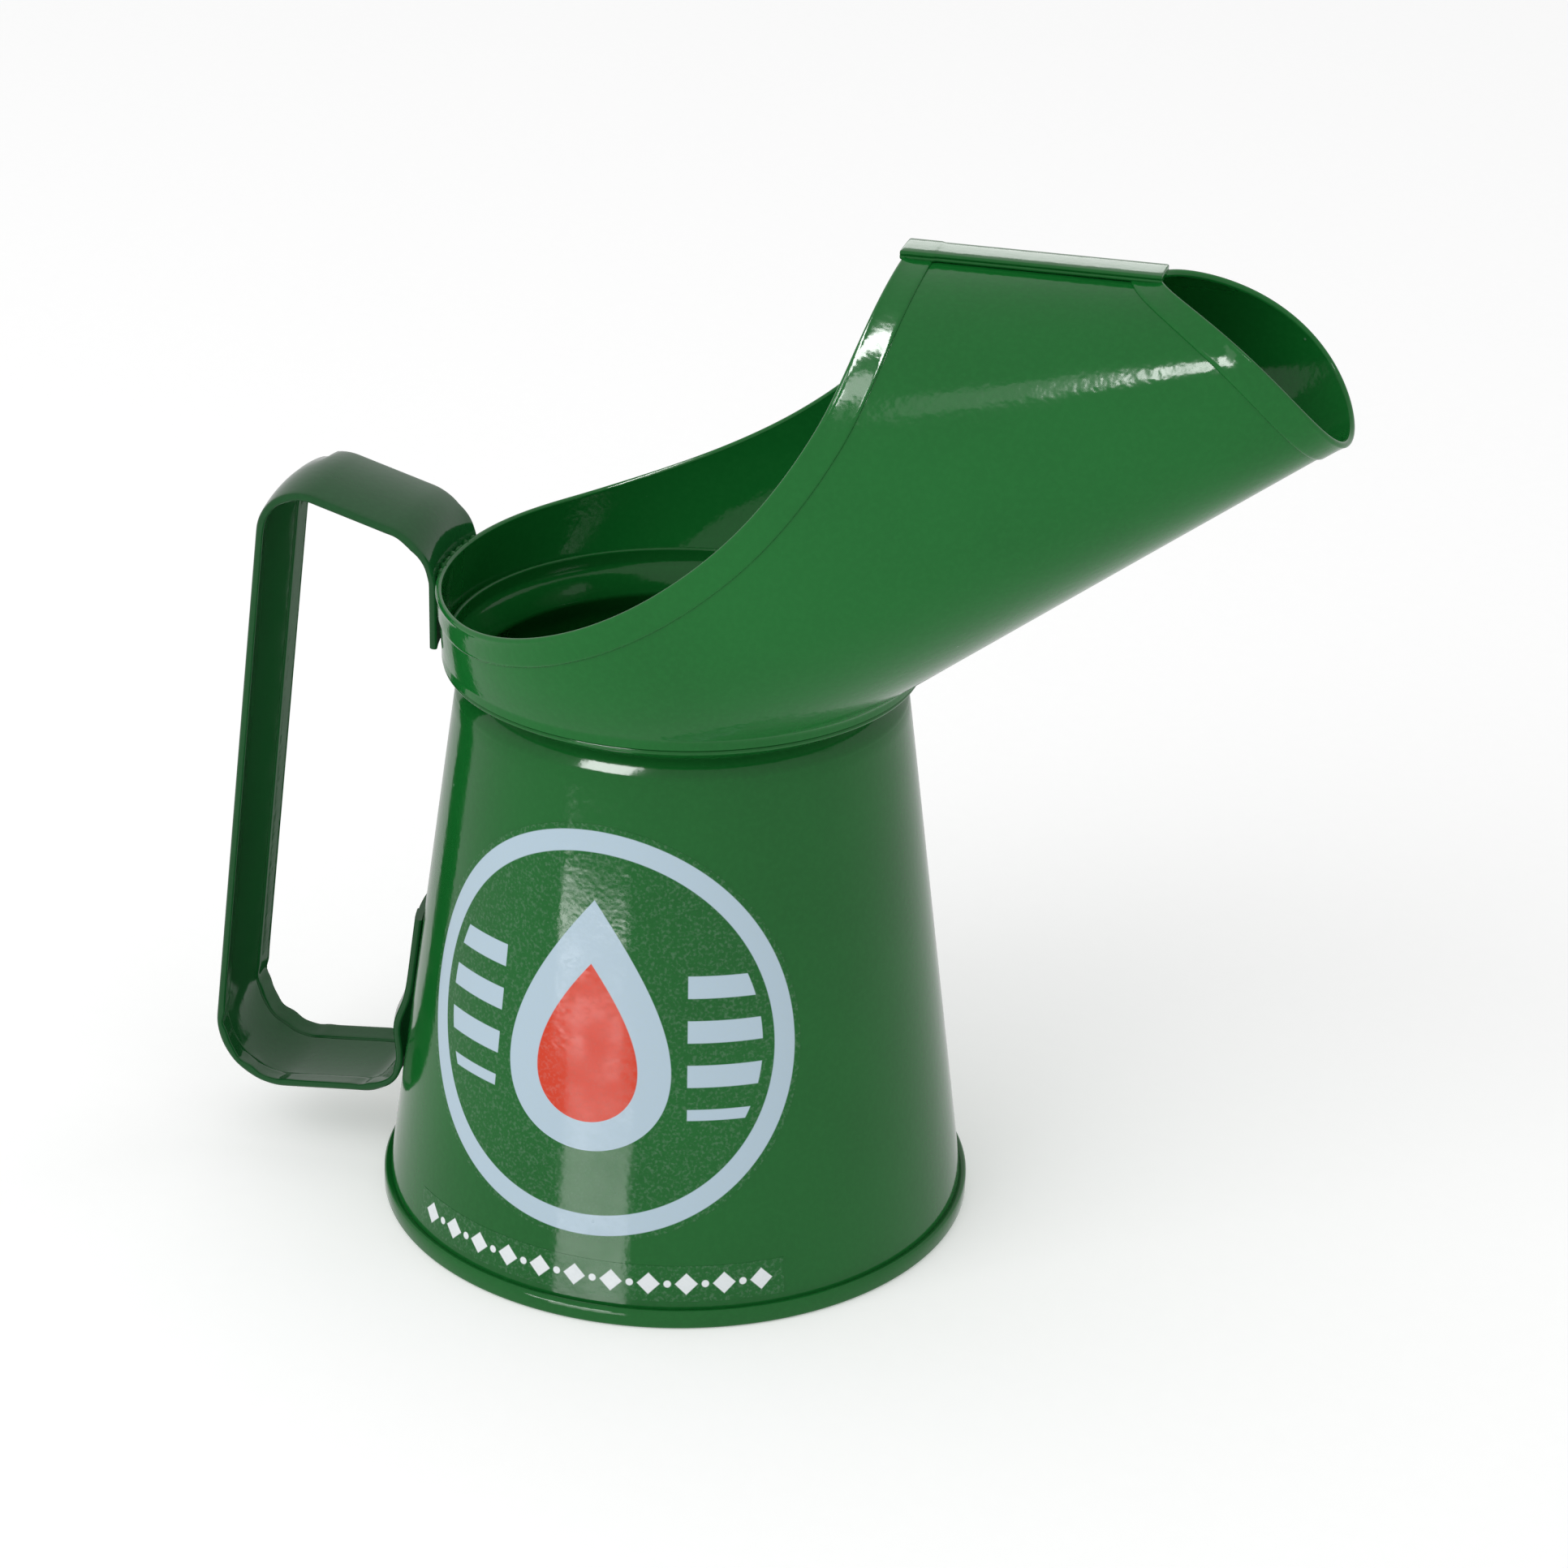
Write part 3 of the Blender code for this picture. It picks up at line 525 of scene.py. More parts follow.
def hem(outline, width, sheet):
    """Folded hem along a free edge: its section is carried along the edge.

    The section runs over the outer face from the fold's cut edge to the rim,
    round the rim in a half circle, and back inside the sheet.
    """
    share = np.linspace(0, 1, 240)
    view = outline(share)
    half = lifted(view[:, 0], view[:, 1])
    half[0, 1] = 0.0
    keep = np.concatenate([[True], np.diff(half[:, 1]) != 0])
    half = half[keep]
    beside_strip = 2.2       # the hem stops here, clear of the seam strip
    last = np.argmax((half[:, 1] < beside_strip) & (np.arange(len(half)) > 20))
    half = half[:last] if last else half
    edge = np.concatenate([mirrored(half[:0:-1]), half])
    inward = unit(np.cross(hood_normals(edge), unit(np.gradient(edge, axis=0))))
    middle = len(edge) // 2
    centre = np.array([20.0, 0.0, NECK]) if edge[middle, 0] < 0 else np.array([60.0, 0.0, NECK + 60])
    if np.dot(inward[middle], centre - edge[middle]) < 0:
        inward = -inward
    raised = 0.42
    section = [(width, -0.2), (width, 0.14), (width - 0.12, 0.30), (width - 0.35, 0.40)]
    section += [(width - 0.8, raised), (width * 0.6, raised), (width * 0.35, raised + 0.03)]
    section += [(0.7, raised + 0.10), (0.25, sheet - 0.08)]
    section += [(-sheet * math.sin(a), sheet * math.cos(a)) for a in np.radians(np.linspace(0, 180, 13))]
    section += [(0.4, -sheet * 0.5), (width * 0.5, -sheet * 0.5), (width, -sheet * 0.5)]
    rings = []
    for distance, height in section:
        base = onto_hood(edge + inward * max(distance, 0.0))
        rings.append(base + inward * min(distance, 0.0) + hood_normals(base) * height)
    points = np.stack(rings, 1)
    rows, columns = points.shape[:2]
    faces = grid_faces(rows, columns, wrap_columns=True)
    ends = points[[0, -1]].mean(axis=1)
    number = np.arange(columns)
    for k, row in enumerate((0, rows - 1)):
        ring = row * columns + number
        tip = np.full(columns, rows * columns + k)
        faces += np.stack([ring, np.roll(ring, -1), tip], -1).tolist()
    return np.concatenate([points.reshape(-1, 3), ends]), faces


class JUG_OT_hood(bpy.types.Operator):
    """Add the pouring hood and the folded hems of its mouth and lip"""
    bl_idname = "jug.hood"
    bl_label = "Hood"

    def execute(self, context):
        size = sizes()
        # Painted light: the hood and both its hems are painted in the lighter copy of the enamel
        paint = enamel("hood_enamel_painted_light", context.scene.jug_colours.hood_paint_painted_light, 3, 0.032)
        points, faces = hood_shell(size["sheet"])
        piece("jug_hood", points, faces, paint, ["pouring_hood"])
        points, faces = hem(mouth_outline, size["hem_width"], size["sheet"])
        piece("mouth_hem", points, faces, paint)
        points, faces = hem(lip_outline, size["hem_width"], size["sheet"])
        piece("lip_hem", points, faces, paint)
        return {"FINISHED"}


class JUG_OT_strip(bpy.types.Operator):
    """Add the folded strip that is slipped over the hood's seam along the crest"""
    bl_idname = "jug.strip"
    bl_label = "Top seam strip"

    def execute(self, context):
        high = STRIP_HIGH.z / MM
        half = 4.2
        layer = 0.42
        start, end = STRIP_LOW.x / MM - AXIS_X, STRIP_HIGH.x / MM - AXIS_X
        right = [(0.0, high - 1.8)] + arc((half - layer, high - 1.8 + layer), layer, -90, 70, 8)
        right += arc((half - layer, high - layer - 0.18), layer, -60, 84, 8)
        right += [(half * 0.5, high - 0.12), (0.0, high - 0.1)]
        section = np.array(right + [(-y, z) for y, z in right[-2:0:-1]])
        run = end - start
        x = np.concatenate([[0, 0.06, 0.2, 0.45], np.arange(1.2, 6.0, 0.8), [6.2, 6.5, 6.8, 7.1],
                            np.linspace(8.0, run - 0.45, 40), run - np.array([0.2, 0.06, 0])])
        ends = np.minimum(np.minimum(x, run - x) / 0.45, 1.0)
        tuck = 0.25 * (1 - np.sqrt(1 - (1 - ends) ** 2))
        doubled = np.clip((7.0 - x) / 0.6, 0, 1)
        middle = np.array([0.0, high - 0.9])
        grow = np.stack([1 - tuck / half + 0.08 * doubled, 1 - tuck + 0.10 * doubled], -1)
        points = np.empty((len(x), len(section), 3))
        points[..., 0] = start + x[:, None]
        points[..., 1:] = middle + (section - middle) * grow[:, None]
        faces = tube_faces(*points.shape[:2])
        piece("jug_strip", points, faces, enamel("strip_enamel", context.scene.jug_colours.paint, 4),
              ["top_seam_strip"])
        return {"FINISHED"}


# ---------------------------------------------------------------------- handle

def crossing(start, direction, other_start, other_direction):
    """Point where two straight lines in the side view cross."""
    across = np.array([direction, [-d for d in other_direction]]).T
    share = np.linalg.solve(across, np.subtract(other_start, start))[0]
    return tuple(np.add(start, np.multiply(direction, share)))


def filleted(corners, radii, spacing):
    """Path through corners with round bends, resampled at an even spacing."""
    corners = [np.array(c, dtype=float) for c in corners]
    path = [corners[0]]
    for before, corner, after, radius in zip(corners, corners[1:], corners[2:], radii):
        into = (before - corner) / np.linalg.norm(before - corner)
        out = (after - corner) / np.linalg.norm(after - corner)
        half = math.acos(float(np.dot(into, out))) / 2
        reach = radius / math.tan(half)
        centre = corner + (into + out) / np.linalg.norm(into + out) * radius / math.sin(half)
        start = corner + into * reach - centre
        finish = corner + out * reach - centre
        turn = math.copysign(math.pi - 2 * half, start[0] * finish[1] - start[1] * finish[0])
        for angle in np.linspace(0, turn, 40):
            c, s = math.cos(angle), math.sin(angle)
            path.append(centre + [c * start[0] - s * start[1], s * start[0] + c * start[1]])
    path.append(corners[-1])
    path = np.array(path)
    run = np.concatenate([[0.0], np.cumsum(np.linalg.norm(np.diff(path, axis=0), axis=1))])
    even = np.linspace(0, run[-1], int(run[-1] / spacing) + 1)
    return np.stack([np.interp(even, run, path[:, k]) for k in (0, 1)], 1), even


def strap_path():
    """Outer face of the strap in side view, from the collar round to the body."""
    top = NECK + TOP_RUN_RISE

    def wall_x(height):
        """The strap's outer face where it lies on the wall."""
        return -wall_radius(height) - 0.3

    collar_corner = (-TAB_RADIUS, top)
    wall_corner = (wall_x(LOW_RUN_HEIGHT), LOW_RUN_HEIGHT)
    grip = (-wall_radius(top) - GRIP_BACK, top)
    corners = [(-TAB_RADIUS, NECK - UPPER_TAB_DROP), collar_corner,
               crossing(collar_corner, (-1.0, TOP_RUN_SLOPE), grip, (GRIP_LEAN, 1.0)),
               crossing(wall_corner, (-1.0, -LOW_RUN_SLOPE), grip, (GRIP_LEAN, 1.0)),
               wall_corner, (wall_x(LOWER_TAB_END), LOWER_TAB_END)]
    return filleted(corners, STRAP_BENDS, 1.0)


def strap_section(size):
    """Closed loop across the strap: distance from the middle and depth under the outer face."""
    half = size["strap_width"] / 2
    fold = half - size["strap_hem"]
    single, double, floor = 0.8, 1.6, 1.34
    outer = [(a, 0.0) for a in np.linspace(-half + single, half - single, 27)]
    right = [(half - single + single * math.sin(a), single - single * math.cos(a))
             for a in np.radians(np.linspace(15, 165, 9))]
    hem_face = [(a, double) for a in np.linspace(half - single, fold + 0.3, 6)]
    step = [(fold + 0.14, double - 0.05), (fold + 0.04, double - 0.30), (fold - 0.04, floor - 0.12),
            (fold - 0.2, floor)]
    inner = [(a, floor) for a in np.linspace(fold - 0.5, 0, 9)]
    back = hem_face + step + inner
    left_back = [(-a, d) for a, d in reversed(back[:-1])]
    left = [(-a, d) for a, d in reversed(right)]
    return np.array(outer + right + back + left_back + left)


def handle_shape(size):
    """Strap swept along its path; crowned when free, hollowed to fit where its tabs are soldered."""
    path, along = strap_path()
    tangent = unit(np.gradient(path, axis=0))
    outward = np.stack([tangent[:, 1], -tangent[:, 0]], 1)
    section = strap_section(size)
    across, depth = section[:, 0], section[:, 1]
    half = size["strap_width"] / 2
    upper_tab = TOP_RUN_RISE - STRAP_BENDS[0] + UPPER_TAB_DROP
    lower_tab = LOWER_TAB_END - LOW_RUN_HEIGHT - STRAP_BENDS[3]
    from_end = along[-1] - along
    hug_upper = np.clip(1 - (along - upper_tab) / 8, 0, 1)[:, None]
    hug_lower = np.clip(1 - (from_end - lower_tab) / 8, 0, 1)[:, None]
    free = np.clip(np.minimum(along - upper_tab, from_end - lower_tab) / 14, 0, 1)[:, None]
    free = free * free * (3 - 2 * free)
    hollow_upper = TAB_RADIUS - np.sqrt(TAB_RADIUS**2 - across**2)
    lower_radius = wall_radius(LOWER_TAB_END) + 0.3
    hollow_lower = lower_radius - np.sqrt(lower_radius**2 - across**2)
    offset = hug_upper * hollow_upper + hug_lower * hollow_lower
    offset = offset - free * size["strap_crown"] * (across / half) ** 2
    stand_off = STAND_OFF * np.exp(-((from_end - (lower_tab - 9)) / 5.5) ** 2)[:, None]
    offset = offset - stand_off * (1 - 0.25 * (across / half) ** 2)
    turning = np.gradient(np.unwrap(np.arctan2(tangent[:, 1], tangent[:, 0])), along)
    bend = np.clip(np.convolve(np.abs(turning), np.ones(5) / 5, "same") / 0.06, 0, 1)[:, None]
    on_hem = np.clip((np.abs(across) - (half - size["strap_hem"]) + 2) / 4, 0, 1) * np.clip(depth, 0, 1)
    tight = np.where(along < along[-1] * 0.5, 0.25, 1.0)[:, None]
    ripple = (np.sin(along * 0.62) + 0.5 * np.sin(along * 1.07 + 1))[:, None]
    puckers = PUCKER * tight * bend * on_hem * ripple
    corners = np.cumsum(bend[:, 0] * np.gradient(along))
    far_edge = np.clip(across / half, 0, 1) ** 2
    second = (corners > STRAP_BENDS[0] * 2.2) & (along < along[-1] * 0.5)
    dents = DENT * np.where(second[:, None], bend, 0) * far_edge * np.sin(along * 0.45)[:, None]
    total = offset - depth - puckers - np.abs(dents)
    points = np.empty((len(path), len(section), 3))
    points[..., 0] = path[:, None, 0] + total * outward[:, None, 0]
    points[..., 1] = across
    points[..., 2] = path[:, None, 1] + total * outward[:, None, 1]
    return points


class JUG_OT_solder(bpy.types.Operator):
    """Add the uneven bead of painted solder between the mouth's rim and the strap"""
    bl_idname = "jug.solder"
    bl_label = "Solder bead"

    def execute(self, context):
        reach = sizes()["strap_width"] / 2 - 1.0
        across = np.linspace(-reach, reach, 110)
        lumps = 0.20 * np.sin(1.9 * across + 0.5) + 0.15 * np.sin(3.7 * across)
        lumps += 0.10 * np.sin(6.1 * across + 2)
        fade = np.sqrt(np.clip((reach - np.abs(across)) / 1.5, 0.02, 1))
        thick = np.maximum(0.50 + lumps, 0.16) * fade
        around = round_angles(12)
        radius = COLLAR + 0.55
        centre_x = -np.sqrt(radius**2 - across**2)
        centre_z = NECK + REAR_RIM + 0.15 + 0.16 * np.sin(2.7 * across)
        points = np.empty((len(across), len(around), 3))
        points[..., 0] = centre_x[:, None] + thick[:, None] * np.cos(around)
        points[..., 1] = across[:, None]
        points[..., 2] = centre_z[:, None] + thick[:, None] * np.sin(around)
        faces = tube_faces(*points.shape[:2])
        piece("solder_bead", points, faces, enamel("solder_enamel", context.scene.jug_colours.paint, 6))
        return {"FINISHED"}


class JUG_OT_handle(bpy.types.Operator):
    """Add the strap handle with its folded edges and soldered tabs"""
    bl_idname = "jug.handle"
    bl_label = "Handle"

    def execute(self, context):
        points = handle_shape(sizes())
        faces = tube_faces(*points.shape[:2])
        # Painted shade: the handle is painted in the darker copy of the enamel
        piece("jug_handle", points, faces, enamel("handle_enamel_painted_shade", context.scene.jug_colours.strap_paint_painted_shade, 5),
              ["handle_strap"])
        return {"FINISHED"}


# ------------------------------------------------------------------- transfers

def on_wall(flat_x, flat_z, height, lift):
    """Wrap a flat pattern round the tapered wall."""
    level = height + flat_z
    angle = -math.pi / 2 + sizes()["transfer_turn"] + flat_x / wall_radius(height)
    reach = wall_radius(level) + lift
    return np.stack([reach * np.cos(angle), reach * np.sin(angle), level], -1)


class JUG_OT_emblem(bpy.types.Operator):
    """Add the round transfer: a ring with an oil drop"""
    bl_idname = "jug.emblem"
    bl_label = "Emblem transfer"

    def execute(self, context):
        size = sizes()
        radius = size["emblem_radius"]
        rings = np.concatenate([np.linspace(0, radius, 33), [radius]])
        turns = np.linspace(0, 2 * np.pi, 144, endpoint=False)[:, None]
        lift = np.full(len(rings), SKIN_LIFT)
        lift[-1] = SKIN_ROOT
        flat_x, flat_z = rings * np.cos(turns), rings * np.sin(turns)
        skin = on_wall(flat_x, flat_z, size["emblem_height"], lift)
        back = on_wall(flat_x[:, ::-1], flat_z[:, ::-1], size["emblem_height"], SKIN_ROOT)
        points = np.concatenate([skin, back], axis=1)
        flat = np.stack([flat_x, flat_z], -1)
        place = np.concatenate([flat, flat[:, ::-1]], axis=1)
        faces = grid_faces(*points.shape[:2], wrap_rows=True)
        piece("emblem_print", points, faces, emblem_material(context),
              ["emblem_transfer"], place=0.5 + place / (2 * radius))
        return {"FINISHED"}


class JUG_OT_border(bpy.types.Operator):
    """Add the narrow transfer round the foot"""
    bl_idname = "jug.border"
    bl_label = "Border transfer"

    def execute(self, context):
        size = sizes()
        half_span = size["border_span"] / 2 * wall_radius(size["border_height"])
        half_width = size["border_width"] / 2
        across = np.array([-1.0, -0.5, 0.0, 0.5, 1.0]) * half_width
        loop = np.concatenate([across, across[::-1]])
        lift = np.repeat([SKIN_LIFT, SKIN_ROOT], len(across))
        run = np.linspace(-half_span, half_span, 121)[:, None]
        flat_x, flat_z = run + 0 * loop, 0 * run + loop
        points = on_wall(flat_x, flat_z, size["border_height"], lift)
        place = np.stack([flat_x / (2 * half_span), flat_z / (2 * half_width)], -1) + 0.5
        faces = tube_faces(*points.shape[:2])
        piece("border_print", points, faces, border_material(context),
              ["border_transfer"], place=place)
        return {"FINISHED"}


# ------------------------------------------------------------------- materials

class Nodes:
    """A material's node tree with short ways to add what the enamel needs."""

    def __init__(self, name):
        self.material = bpy.data.materials.new(name)
        self.material.use_nodes = True
        self.tree = self.material.node_tree
        self.shader = self.tree.nodes["Principled BSDF"]
        self.where = self.tree.nodes.new("ShaderNodeTexCoord").outputs["Object"]

    def add(self, kind, **settings):
        """Add a node and set its properties."""
        node = self.tree.nodes.new(kind)
        for key, value in settings.items():
            setattr(node, key, value)
        return node

    def join(self, source, target):
        """Link an output to an input."""
        self.tree.links.new(source, target)

    def math(self, operation, first, second=0.0, third=0.0):
        """One sum on numbers or outputs."""
        node = self.add("ShaderNodeMath", operation=operation)
        for socket, value in zip(node.inputs, (first, second, third)):
            if isinstance(value, (int, float)):
                socket.default_value = value
            else:
                self.join(value, socket)
        return node.outputs[0]

    def reach(self, first, second):
        """Distance from the middle: the root of the sum of two squares."""
        squares = (self.math("POWER", value, 2.0) for value in (first, second))
        return self.math("SQRT", self.math("ADD", *squares))

    def noise(self, scale, detail=2.0, shift=0.0):
        """Noise on the piece's own coordinates, moved so that no two layers match."""
        spot = self.add("ShaderNodeMapping")
        spot.inputs["Location"].default_value = (shift, 2 * shift, 3 * shift)
        self.join(self.where, spot.inputs["Vector"])
        node = self.add("ShaderNodeTexNoise")
        node.inputs["Scale"].default_value = scale
        node.inputs["Detail"].default_value = detail
        self.join(spot.outputs[0], node.inputs["Vector"])
        return node.outputs["Fac"]

    def ramp(self, value, low, high, out_low=0.0, out_high=1.0):
        """Smooth step from out_low to out_high as the value goes from low to high."""
        node = self.add("ShaderNodeMapRange", interpolation_type="SMOOTHSTEP")
        limits = {"From Min": low, "From Max": high, "To Min": out_low, "To Max": out_high}
        for key, number in limits.items():
            node.inputs[key].default_value = number
        self.join(value, node.inputs["Value"])
        return node.outputs[0]

    def bump(self, height, depth, under=None):
        """Bump of a depth in metres, laid over the bump under it."""
        node = self.add("ShaderNodeBump")
        node.inputs["Strength"].default_value = 1.0
        node.inputs["Distance"].default_value = depth
        self.join(height, node.inputs["Height"])
        if under is not None:
            self.join(under, node.inputs["Normal"])
        return node.outputs[0]

    def mix(self, share, first, second):
        """Blend two colours, each a value or an output."""
        node = self.add("ShaderNodeMix", data_type="RGBA")
        for name, value in ((0, share), (6, first), (7, second)):
            if isinstance(value, bpy.types.NodeSocket):
                self.join(value, node.inputs[name])
            elif name == 0:
                node.inputs[name].default_value = value
            else:
                node.inputs[name].default_value = (*value, 1.0)
        return node.outputs[2]


def enamel_layers(nodes, paint, seed, peel_height=0.020):
    """Enamel's colour with cloudy depth and dust nibs, and its roughness.

    Sets the bumps of the waves, the orange peel and the nibs on the shader.
    """
    paint = np.array(paint)
    cloud = nodes.ramp(nodes.noise(22.0, 3.0, seed * 0.37), 0.3, 0.7)
    tone = nodes.mix(cloud, tuple(paint * 0.93), tuple(paint * 1.07))
    grain = nodes.ramp(nodes.noise(900.0, 2.0, seed * 0.11), 0.35, 0.75)
    tone = nodes.mix(nodes.math("MULTIPLY", grain, 0.25), tone, tuple(paint * 1.25 + 0.004))
    dust = nodes.add("ShaderNodeTexVoronoi", feature="F1")
    dust.inputs["Scale"].default_value = 110.0
    nodes.join(nodes.where, dust.inputs["Vector"])
    dot = nodes.ramp(dust.outputs["Distance"], 0.035, 0.02)
    some = nodes.ramp(nodes.noise(35.0, 1.0, seed * 0.53), 0.60, 0.68)
    nib = nodes.math("MULTIPLY", dot, some)
    tone = nodes.mix(nodes.math("MULTIPLY", nib, 0.5), tone, (0.20, 0.34, 0.24))
    rough = nodes.ramp(nodes.noise(160.0, 3.0, seed * 0.29), 0.3, 0.7, 0.085, 0.130)
    waves = nodes.bump(nodes.noise(48.0, 1.0, seed * 0.61), 0.090 * MM)
    peel = nodes.bump(nodes.noise(640.0, 1.0, seed * 0.17), peel_height * MM, waves)
    nodes.join(nodes.bump(nib, 0.050 * MM, peel), nodes.shader.inputs["Normal"])
    nodes.shader.inputs["IOR"].default_value = 1.38
    nodes.shader.inputs["Metallic"].default_value = 0.0
    return tone, rough


def enamel(name, paint, seed, peel_height=0.020):
    """Gloss enamel over tinplate."""
    nodes = Nodes(name)
    tone, rough = enamel_layers(nodes, paint, seed, peel_height)
    nodes.join(tone, nodes.shader.inputs["Base Color"])
    nodes.join(rough, nodes.shader.inputs["Roughness"])
    return nodes.material


def print_place(nodes, width, height):
    """Flat coordinates of a transfer in millimetres from its middle."""
    layer = nodes.add("ShaderNodeUVMap", uv_map="print")
    parts = nodes.add("ShaderNodeSeparateXYZ")
    nodes.join(layer.outputs[0], parts.inputs[0])
    across = nodes.math("MULTIPLY_ADD", parts.outputs[0], width, -width / 2)
    up = nodes.math("MULTIPLY_ADD", parts.outputs[1], height, -height / 2)
    return across, up


def inside(nodes, amount, blur=0.12):
    """A soft-edged mask that is 1 where amount, in millimetres, is above zero."""
    return nodes.ramp(amount, -blur, blur)


def drop_mask(nodes, across, up, bottom, height, width):
    """Drop shape: half width is A sqrt(s) (1 - s), with s the share of its height."""
    share = nodes.math("DIVIDE", nodes.math("SUBTRACT", up, bottom), height)
    share = nodes.math("MINIMUM", nodes.math("MAXIMUM", share, 0.0), 1.0)
    peak = 0.3849
    rim = nodes.math("MULTIPLY", nodes.math("SQRT", share), nodes.math("SUBTRACT", 1.0, share))
    rim = nodes.math("MULTIPLY", rim, width / 2 / peak)
    gap = nodes.math("SUBTRACT", rim, nodes.math("ABSOLUTE", across))
    return inside(nodes, nodes.math("SUBTRACT", gap, 0.12))


def film_finish(nodes, tone, rough, masks):
    """Ink over the enamel's colour, under a film that is a little duller and finely pitted."""
    ink_on = 0.0
    for mask, ink in masks:
        tone = nodes.mix(mask, tone, ink)
        ink_on = nodes.math("MAXIMUM", ink_on, mask)
    speckle = nodes.ramp(nodes.noise(1500.0, 2.0, 4.4), 0.45, 0.75)
    tone = nodes.mix(nodes.math("MULTIPLY", speckle, 0.10), tone, (0.45, 0.55, 0.50))
    rough = nodes.math("ADD", rough, nodes.math("MULTIPLY", ink_on, 0.04))
    rough = nodes.math("ADD", rough, nodes.math("MULTIPLY", speckle, 0.06))
    nodes.join(tone, nodes.shader.inputs["Base Color"])
    nodes.join(rough, nodes.shader.inputs["Roughness"])


def emblem_material(context):
    """Pale ring, pale drop with a red drop inside it, and pale bars beside it."""
    colours = context.scene.jug_colours
    size = sizes()
    nodes = Nodes("emblem_print")
    tone, rough = enamel_layers(nodes, colours.paint, 1)
    width = 2 * size["emblem_radius"]
    across, up = print_place(nodes, width, width)
    reach = nodes.reach(across, up)
    off_ring = nodes.math("ABSOLUTE", nodes.math("SUBTRACT", reach, RING_RADIUS))
    ring = inside(nodes, nodes.math("SUBTRACT", RING_HALF, off_ring))
    big = drop_mask(nodes, across, up, -24.0, 52.0, 34.0)
    small = drop_mask(nodes, across, up, -18.0, 33.0, 21.0)
    wave = nodes.math("PINGPONG", nodes.math("ADD", up, BAR_SHIFT), BAR_PITCH)
    bars = inside(nodes, nodes.math("SUBTRACT", wave, BAR_HALF))
    beside = nodes.math("SUBTRACT", nodes.math("ABSOLUTE", across), 20.0)
    within = nodes.math("SUBTRACT", 35.0, reach)
    level = nodes.math("SUBTRACT", 16.0, nodes.math("ABSOLUTE", up))
    for limit in (beside, within, level):
        bars = nodes.math("MULTIPLY", bars, inside(nodes, limit))
    film_finish(nodes, tone, rough, [(ring, colours.pale_ink), (bars, colours.pale_ink),
                                     (big, colours.pale_ink), (small, colours.red_ink)])
    return nodes.material


def border_material(context):
    """White lozenges and dots in turn between the ends of the border."""
    colours = context.scene.jug_colours
    size = sizes()
    nodes = Nodes("border_print")
    tone, rough = enamel_layers(nodes, colours.paint, 1)
    span = size["border_span"] * wall_radius(size["border_height"])
    across, up = print_place(nodes, span, size["border_width"])
    shift = 100 * LOZENGE_STEP
    near = nodes.math("PINGPONG", nodes.math("ADD", across, shift), LOZENGE_STEP / 2)
    far = nodes.math("SUBTRACT", LOZENGE_STEP / 2, near)
    tall = nodes.math("ABSOLUTE", up)
    depth = 1.6
    slant = nodes.math("MULTIPLY", nodes.math("ADD", near, tall), depth / LOZENGE_REACH)
    lozenge = inside(nodes, nodes.math("SUBTRACT", depth, slant))
    dots = inside(nodes, nodes.math("SUBTRACT", DOT_RADIUS, nodes.reach(far, tall)))
    ends = inside(nodes, nodes.math("SUBTRACT", span / 2 - 2.0, nodes.math("ABSOLUTE", across)))
    marks = nodes.math("MULTIPLY", nodes.math("MAXIMUM", lozenge, dots), ends)
    film_finish(nodes, tone, rough, [(marks, colours.white_ink)])
    return nodes.material


# ----------------------------------------------------------------------- stage

def aimed_light(name, azimuth, elevation, distance, width, height, radiance, target):
    """Area light seen from the target at an azimuth from -Y towards +X and an elevation.

    Its power is radiance times pi times its area.
    """
    azimuth, elevation = math.radians(azimuth), math.radians(elevation)
    towards = Vector((math.sin(azimuth) * math.cos(elevation), -math.cos(azimuth) * math.cos(elevation),
                      math.sin(elevation)))
    data = bpy.data.lights.new(name, "AREA")
    data.shape = "RECTANGLE"
    data.size, data.size_y = width, height
    data.energy = radiance * math.pi * width * height
    light = bpy.data.objects.new(name, data)
    light.location = Vector(target) + towards * distance
    light.rotation_euler = towards.to_track_quat("Z", "Y").to_euler()
    light.visible_camera = False
    bpy.context.scene.collection.objects.link(light)
    return light


def shine_only_on(light, names):
    """Let a light reach only the named pieces."""
    group = bpy.data.collections.new(light.name + "_receivers")
    for name in names:
        group.objects.link(bpy.data.objects[name])
    light.light_linking.receiver_collection = group


def camera_matrix(azimuth, distance, height, yaw, pitch, roll):
    """Camera on a circle round the body's axis, turned by yaw, pitched down and rolled."""
    azimuth, yaw, pitch, roll = (math.radians(angle) for angle in (azimuth, yaw, pitch, roll))
    place = Vector((AXIS_X * MM + distance * math.sin(azimuth), -distance * math.cos(azimuth), height))
    right = Vector((math.cos(yaw), math.sin(yaw), 0))
    ahead = Vector((-math.sin(yaw) * math.cos(pitch), math.cos(yaw) * math.cos(pitch), -math.sin(pitch)))
    up = right.cross(ahead)
    right, up = (math.cos(roll) * right + math.sin(roll) * up, -math.sin(roll) * right + math.cos(roll) * up)
    turn = Matrix((right, up, -ahead)).transposed().to_4x4()
    return Matrix.Translation(place) @ turn


def matt(name, scale, seed, low, high):
    """Matt flecked surface whose colour goes between low and high."""
    nodes = Nodes(name)
    fleck = nodes.ramp(nodes.noise(scale, 3.0, seed), 0.3, 0.7)
    nodes.join(nodes.mix(fleck, tuple(low), tuple(high)), nodes.shader.inputs["Base Color"])
    nodes.shader.inputs["Roughness"].default_value = 1.0
    nodes.shader.inputs["Specular IOR Level"].default_value = 0.0
    return nodes


def flat_sheet(name, corners, material):
    """One flat face that belongs to the stage."""
    mesh = bpy.data.meshes.new(name)
    mesh.from_pydata(corners, [], [(0, 1, 2, 3)])
    mesh.materials.append(material)
    sheet = bpy.data.objects.new(name, mesh)
    bpy.context.scene.collection.objects.link(sheet)
    return sheet


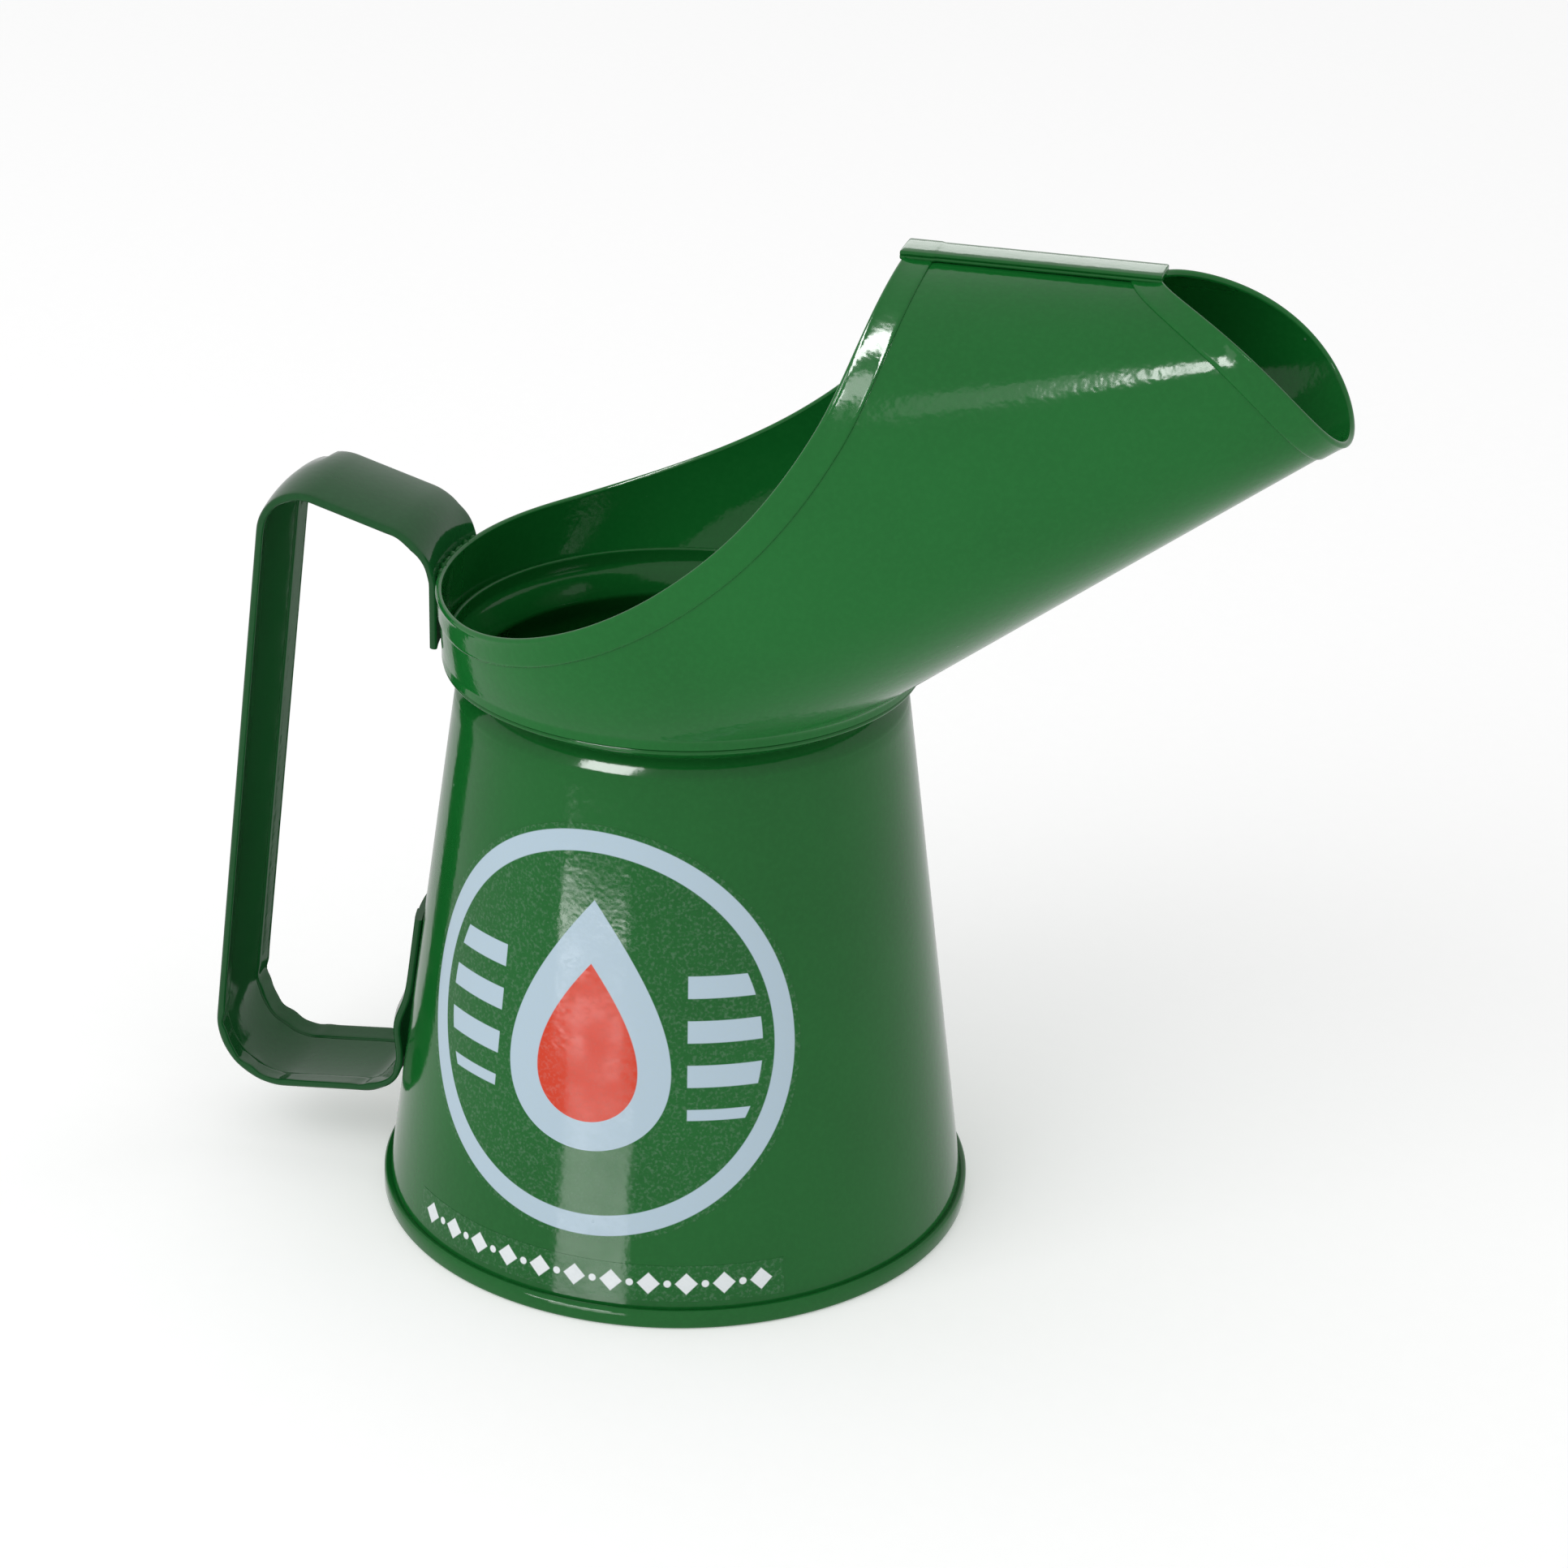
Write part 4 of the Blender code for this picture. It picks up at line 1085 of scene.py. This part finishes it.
def add_floor_and_sky(scene):
    """Plain pale floor that the enamel doesn't mirror, under an even sky."""
    pale = np.array(scene.jug_colours.floor)
    paper = matt("floor_paper", 240.0, 0.9, pale * 0.99, pale)
    paper.shader.inputs["Emission Color"].default_value = (1.0, 1.0, 1.0, 1.0)
    paper.shader.inputs["Emission Strength"].default_value = FLOOR_GLOW
    half = FLOOR_HALF
    corners = [(-half, -half, 0), (half, -half, 0), (half, half, 0), (-half, half, 0)]
    flat_sheet("floor", corners, paper.material).visible_glossy = False
    scene.world = bpy.data.worlds.new("studio")
    scene.world.use_nodes = True
    sky = scene.world.node_tree.nodes["Background"]
    sky.inputs["Color"].default_value = (1.0, 1.0, 1.0, 1.0)
    sky.inputs["Strength"].default_value = SKY


def add_lights():
    """Soft key, a fill for the handle, and the panels that are seen in the enamel."""
    key = aimed_light("soft_key", -34.0, 40.0, REACH, 1.1, 1.1, 1.8, CONE_SPOT)
    fill = aimed_light("handle_fill", 65.0, 15.0, REACH, 1.1, 1.1, 2.0, GRIP_SPOT)
    fill.data.use_shadow = False
    shine_only_on(fill, ["jug_handle"])
    for lamp in (key, fill):
        lamp.visible_glossy = False
    for name, target, azimuth, elevation, wide, tall, radiance, receivers in PANELS:
        width, height = (2 * REACH * math.tan(math.radians(angle / 2)) for angle in (wide, tall))
        panel = aimed_light(name, azimuth, elevation, REACH, width, height, radiance, target)
        panel.visible_diffuse = False
        shine_only_on(panel, receivers)


def add_dark_card():
    """Dark card behind the handle, which only the enamel's reflections show."""
    felt = matt("dark_felt", 300.0, 0.4, (0.010, 0.010, 0.010), (0.016, 0.016, 0.016))
    left, right, low, high, back = AXIS_X * MM - 0.13, AXIS_X * MM + 0.02, -0.15, 0.06, 0.20
    corners = [(left, back, low), (right, back, low), (right, back, high), (left, back, high)]
    card = flat_sheet("dark_card", corners, felt.material)
    card.visible_camera = False
    card.visible_diffuse = False
    card.visible_shadow = False


def add_camera(scene):
    """Long lens, a little above the jug and to the lip's side."""
    lens = bpy.data.cameras.new("camera")
    lens.sensor_width = 36.0
    lens.lens = 89.6
    lens.clip_end = 50.0
    camera = bpy.data.objects.new("camera", lens)
    camera.matrix_world = camera_matrix(15.5, 0.7233, 0.4264, 13.84, 24.82, 1.53)
    scene.collection.objects.link(camera)
    scene.camera = camera


class JUG_OT_stage(bpy.types.Operator):
    """Add the plain floor, the soft lights and the camera"""
    bl_idname = "jug.stage"
    bl_label = "Stage"

    def execute(self, context):
        add_floor_and_sky(context.scene)
        add_lights()
        add_dark_card()
        add_camera(context.scene)
        context.scene.view_settings.view_transform = "Standard"
        return {"FINISHED"}


# ----------------------------------------------------------------------- panel

class JUG_PT_panel(bpy.types.Panel):
    """Sizes, colours and pieces of the pouring jug"""
    bl_label = "Oil pouring jug"
    bl_idname = "JUG_PT_panel"
    bl_space_type = "VIEW_3D"
    bl_region_type = "UI"
    bl_category = "Jug"

    def draw(self, context):
        scene = context.scene
        for title, group in (("Sizes", scene.jug_sizes), ("Colours", scene.jug_colours)):
            box = self.layout.box()
            box.label(text=title)
            for key in type(group).__annotations__:
                box.prop(group, key)
        for operator in OPERATORS:
            self.layout.operator(operator.bl_idname)


OPERATORS = (JUG_OT_body, JUG_OT_base, JUG_OT_hood, JUG_OT_strip, JUG_OT_handle, JUG_OT_solder,
             JUG_OT_emblem, JUG_OT_border, JUG_OT_stage)
CLASSES = (JugSizes, JugColours, *OPERATORS, JUG_PT_panel)


def register():
    """Register the classes and hang the properties on the scene."""
    for cls in CLASSES:
        bpy.utils.register_class(cls)
    bpy.types.Scene.jug_sizes = bpy.props.PointerProperty(type=JugSizes)
    bpy.types.Scene.jug_colours = bpy.props.PointerProperty(type=JugColours)


def unregister():
    """Undo what register does."""
    del bpy.types.Scene.jug_colours
    del bpy.types.Scene.jug_sizes
    for cls in reversed(CLASSES):
        bpy.utils.unregister_class(cls)


def main():
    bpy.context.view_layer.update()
    register()
    bpy.ops.jug.body()
    bpy.ops.jug.base()
    bpy.ops.jug.hood()
    bpy.ops.jug.strip()
    bpy.ops.jug.handle()
    bpy.ops.jug.solder()
    bpy.ops.jug.emblem()
    bpy.ops.jug.border()
    bpy.ops.jug.stage()


if __name__ == "__main__":
    main()
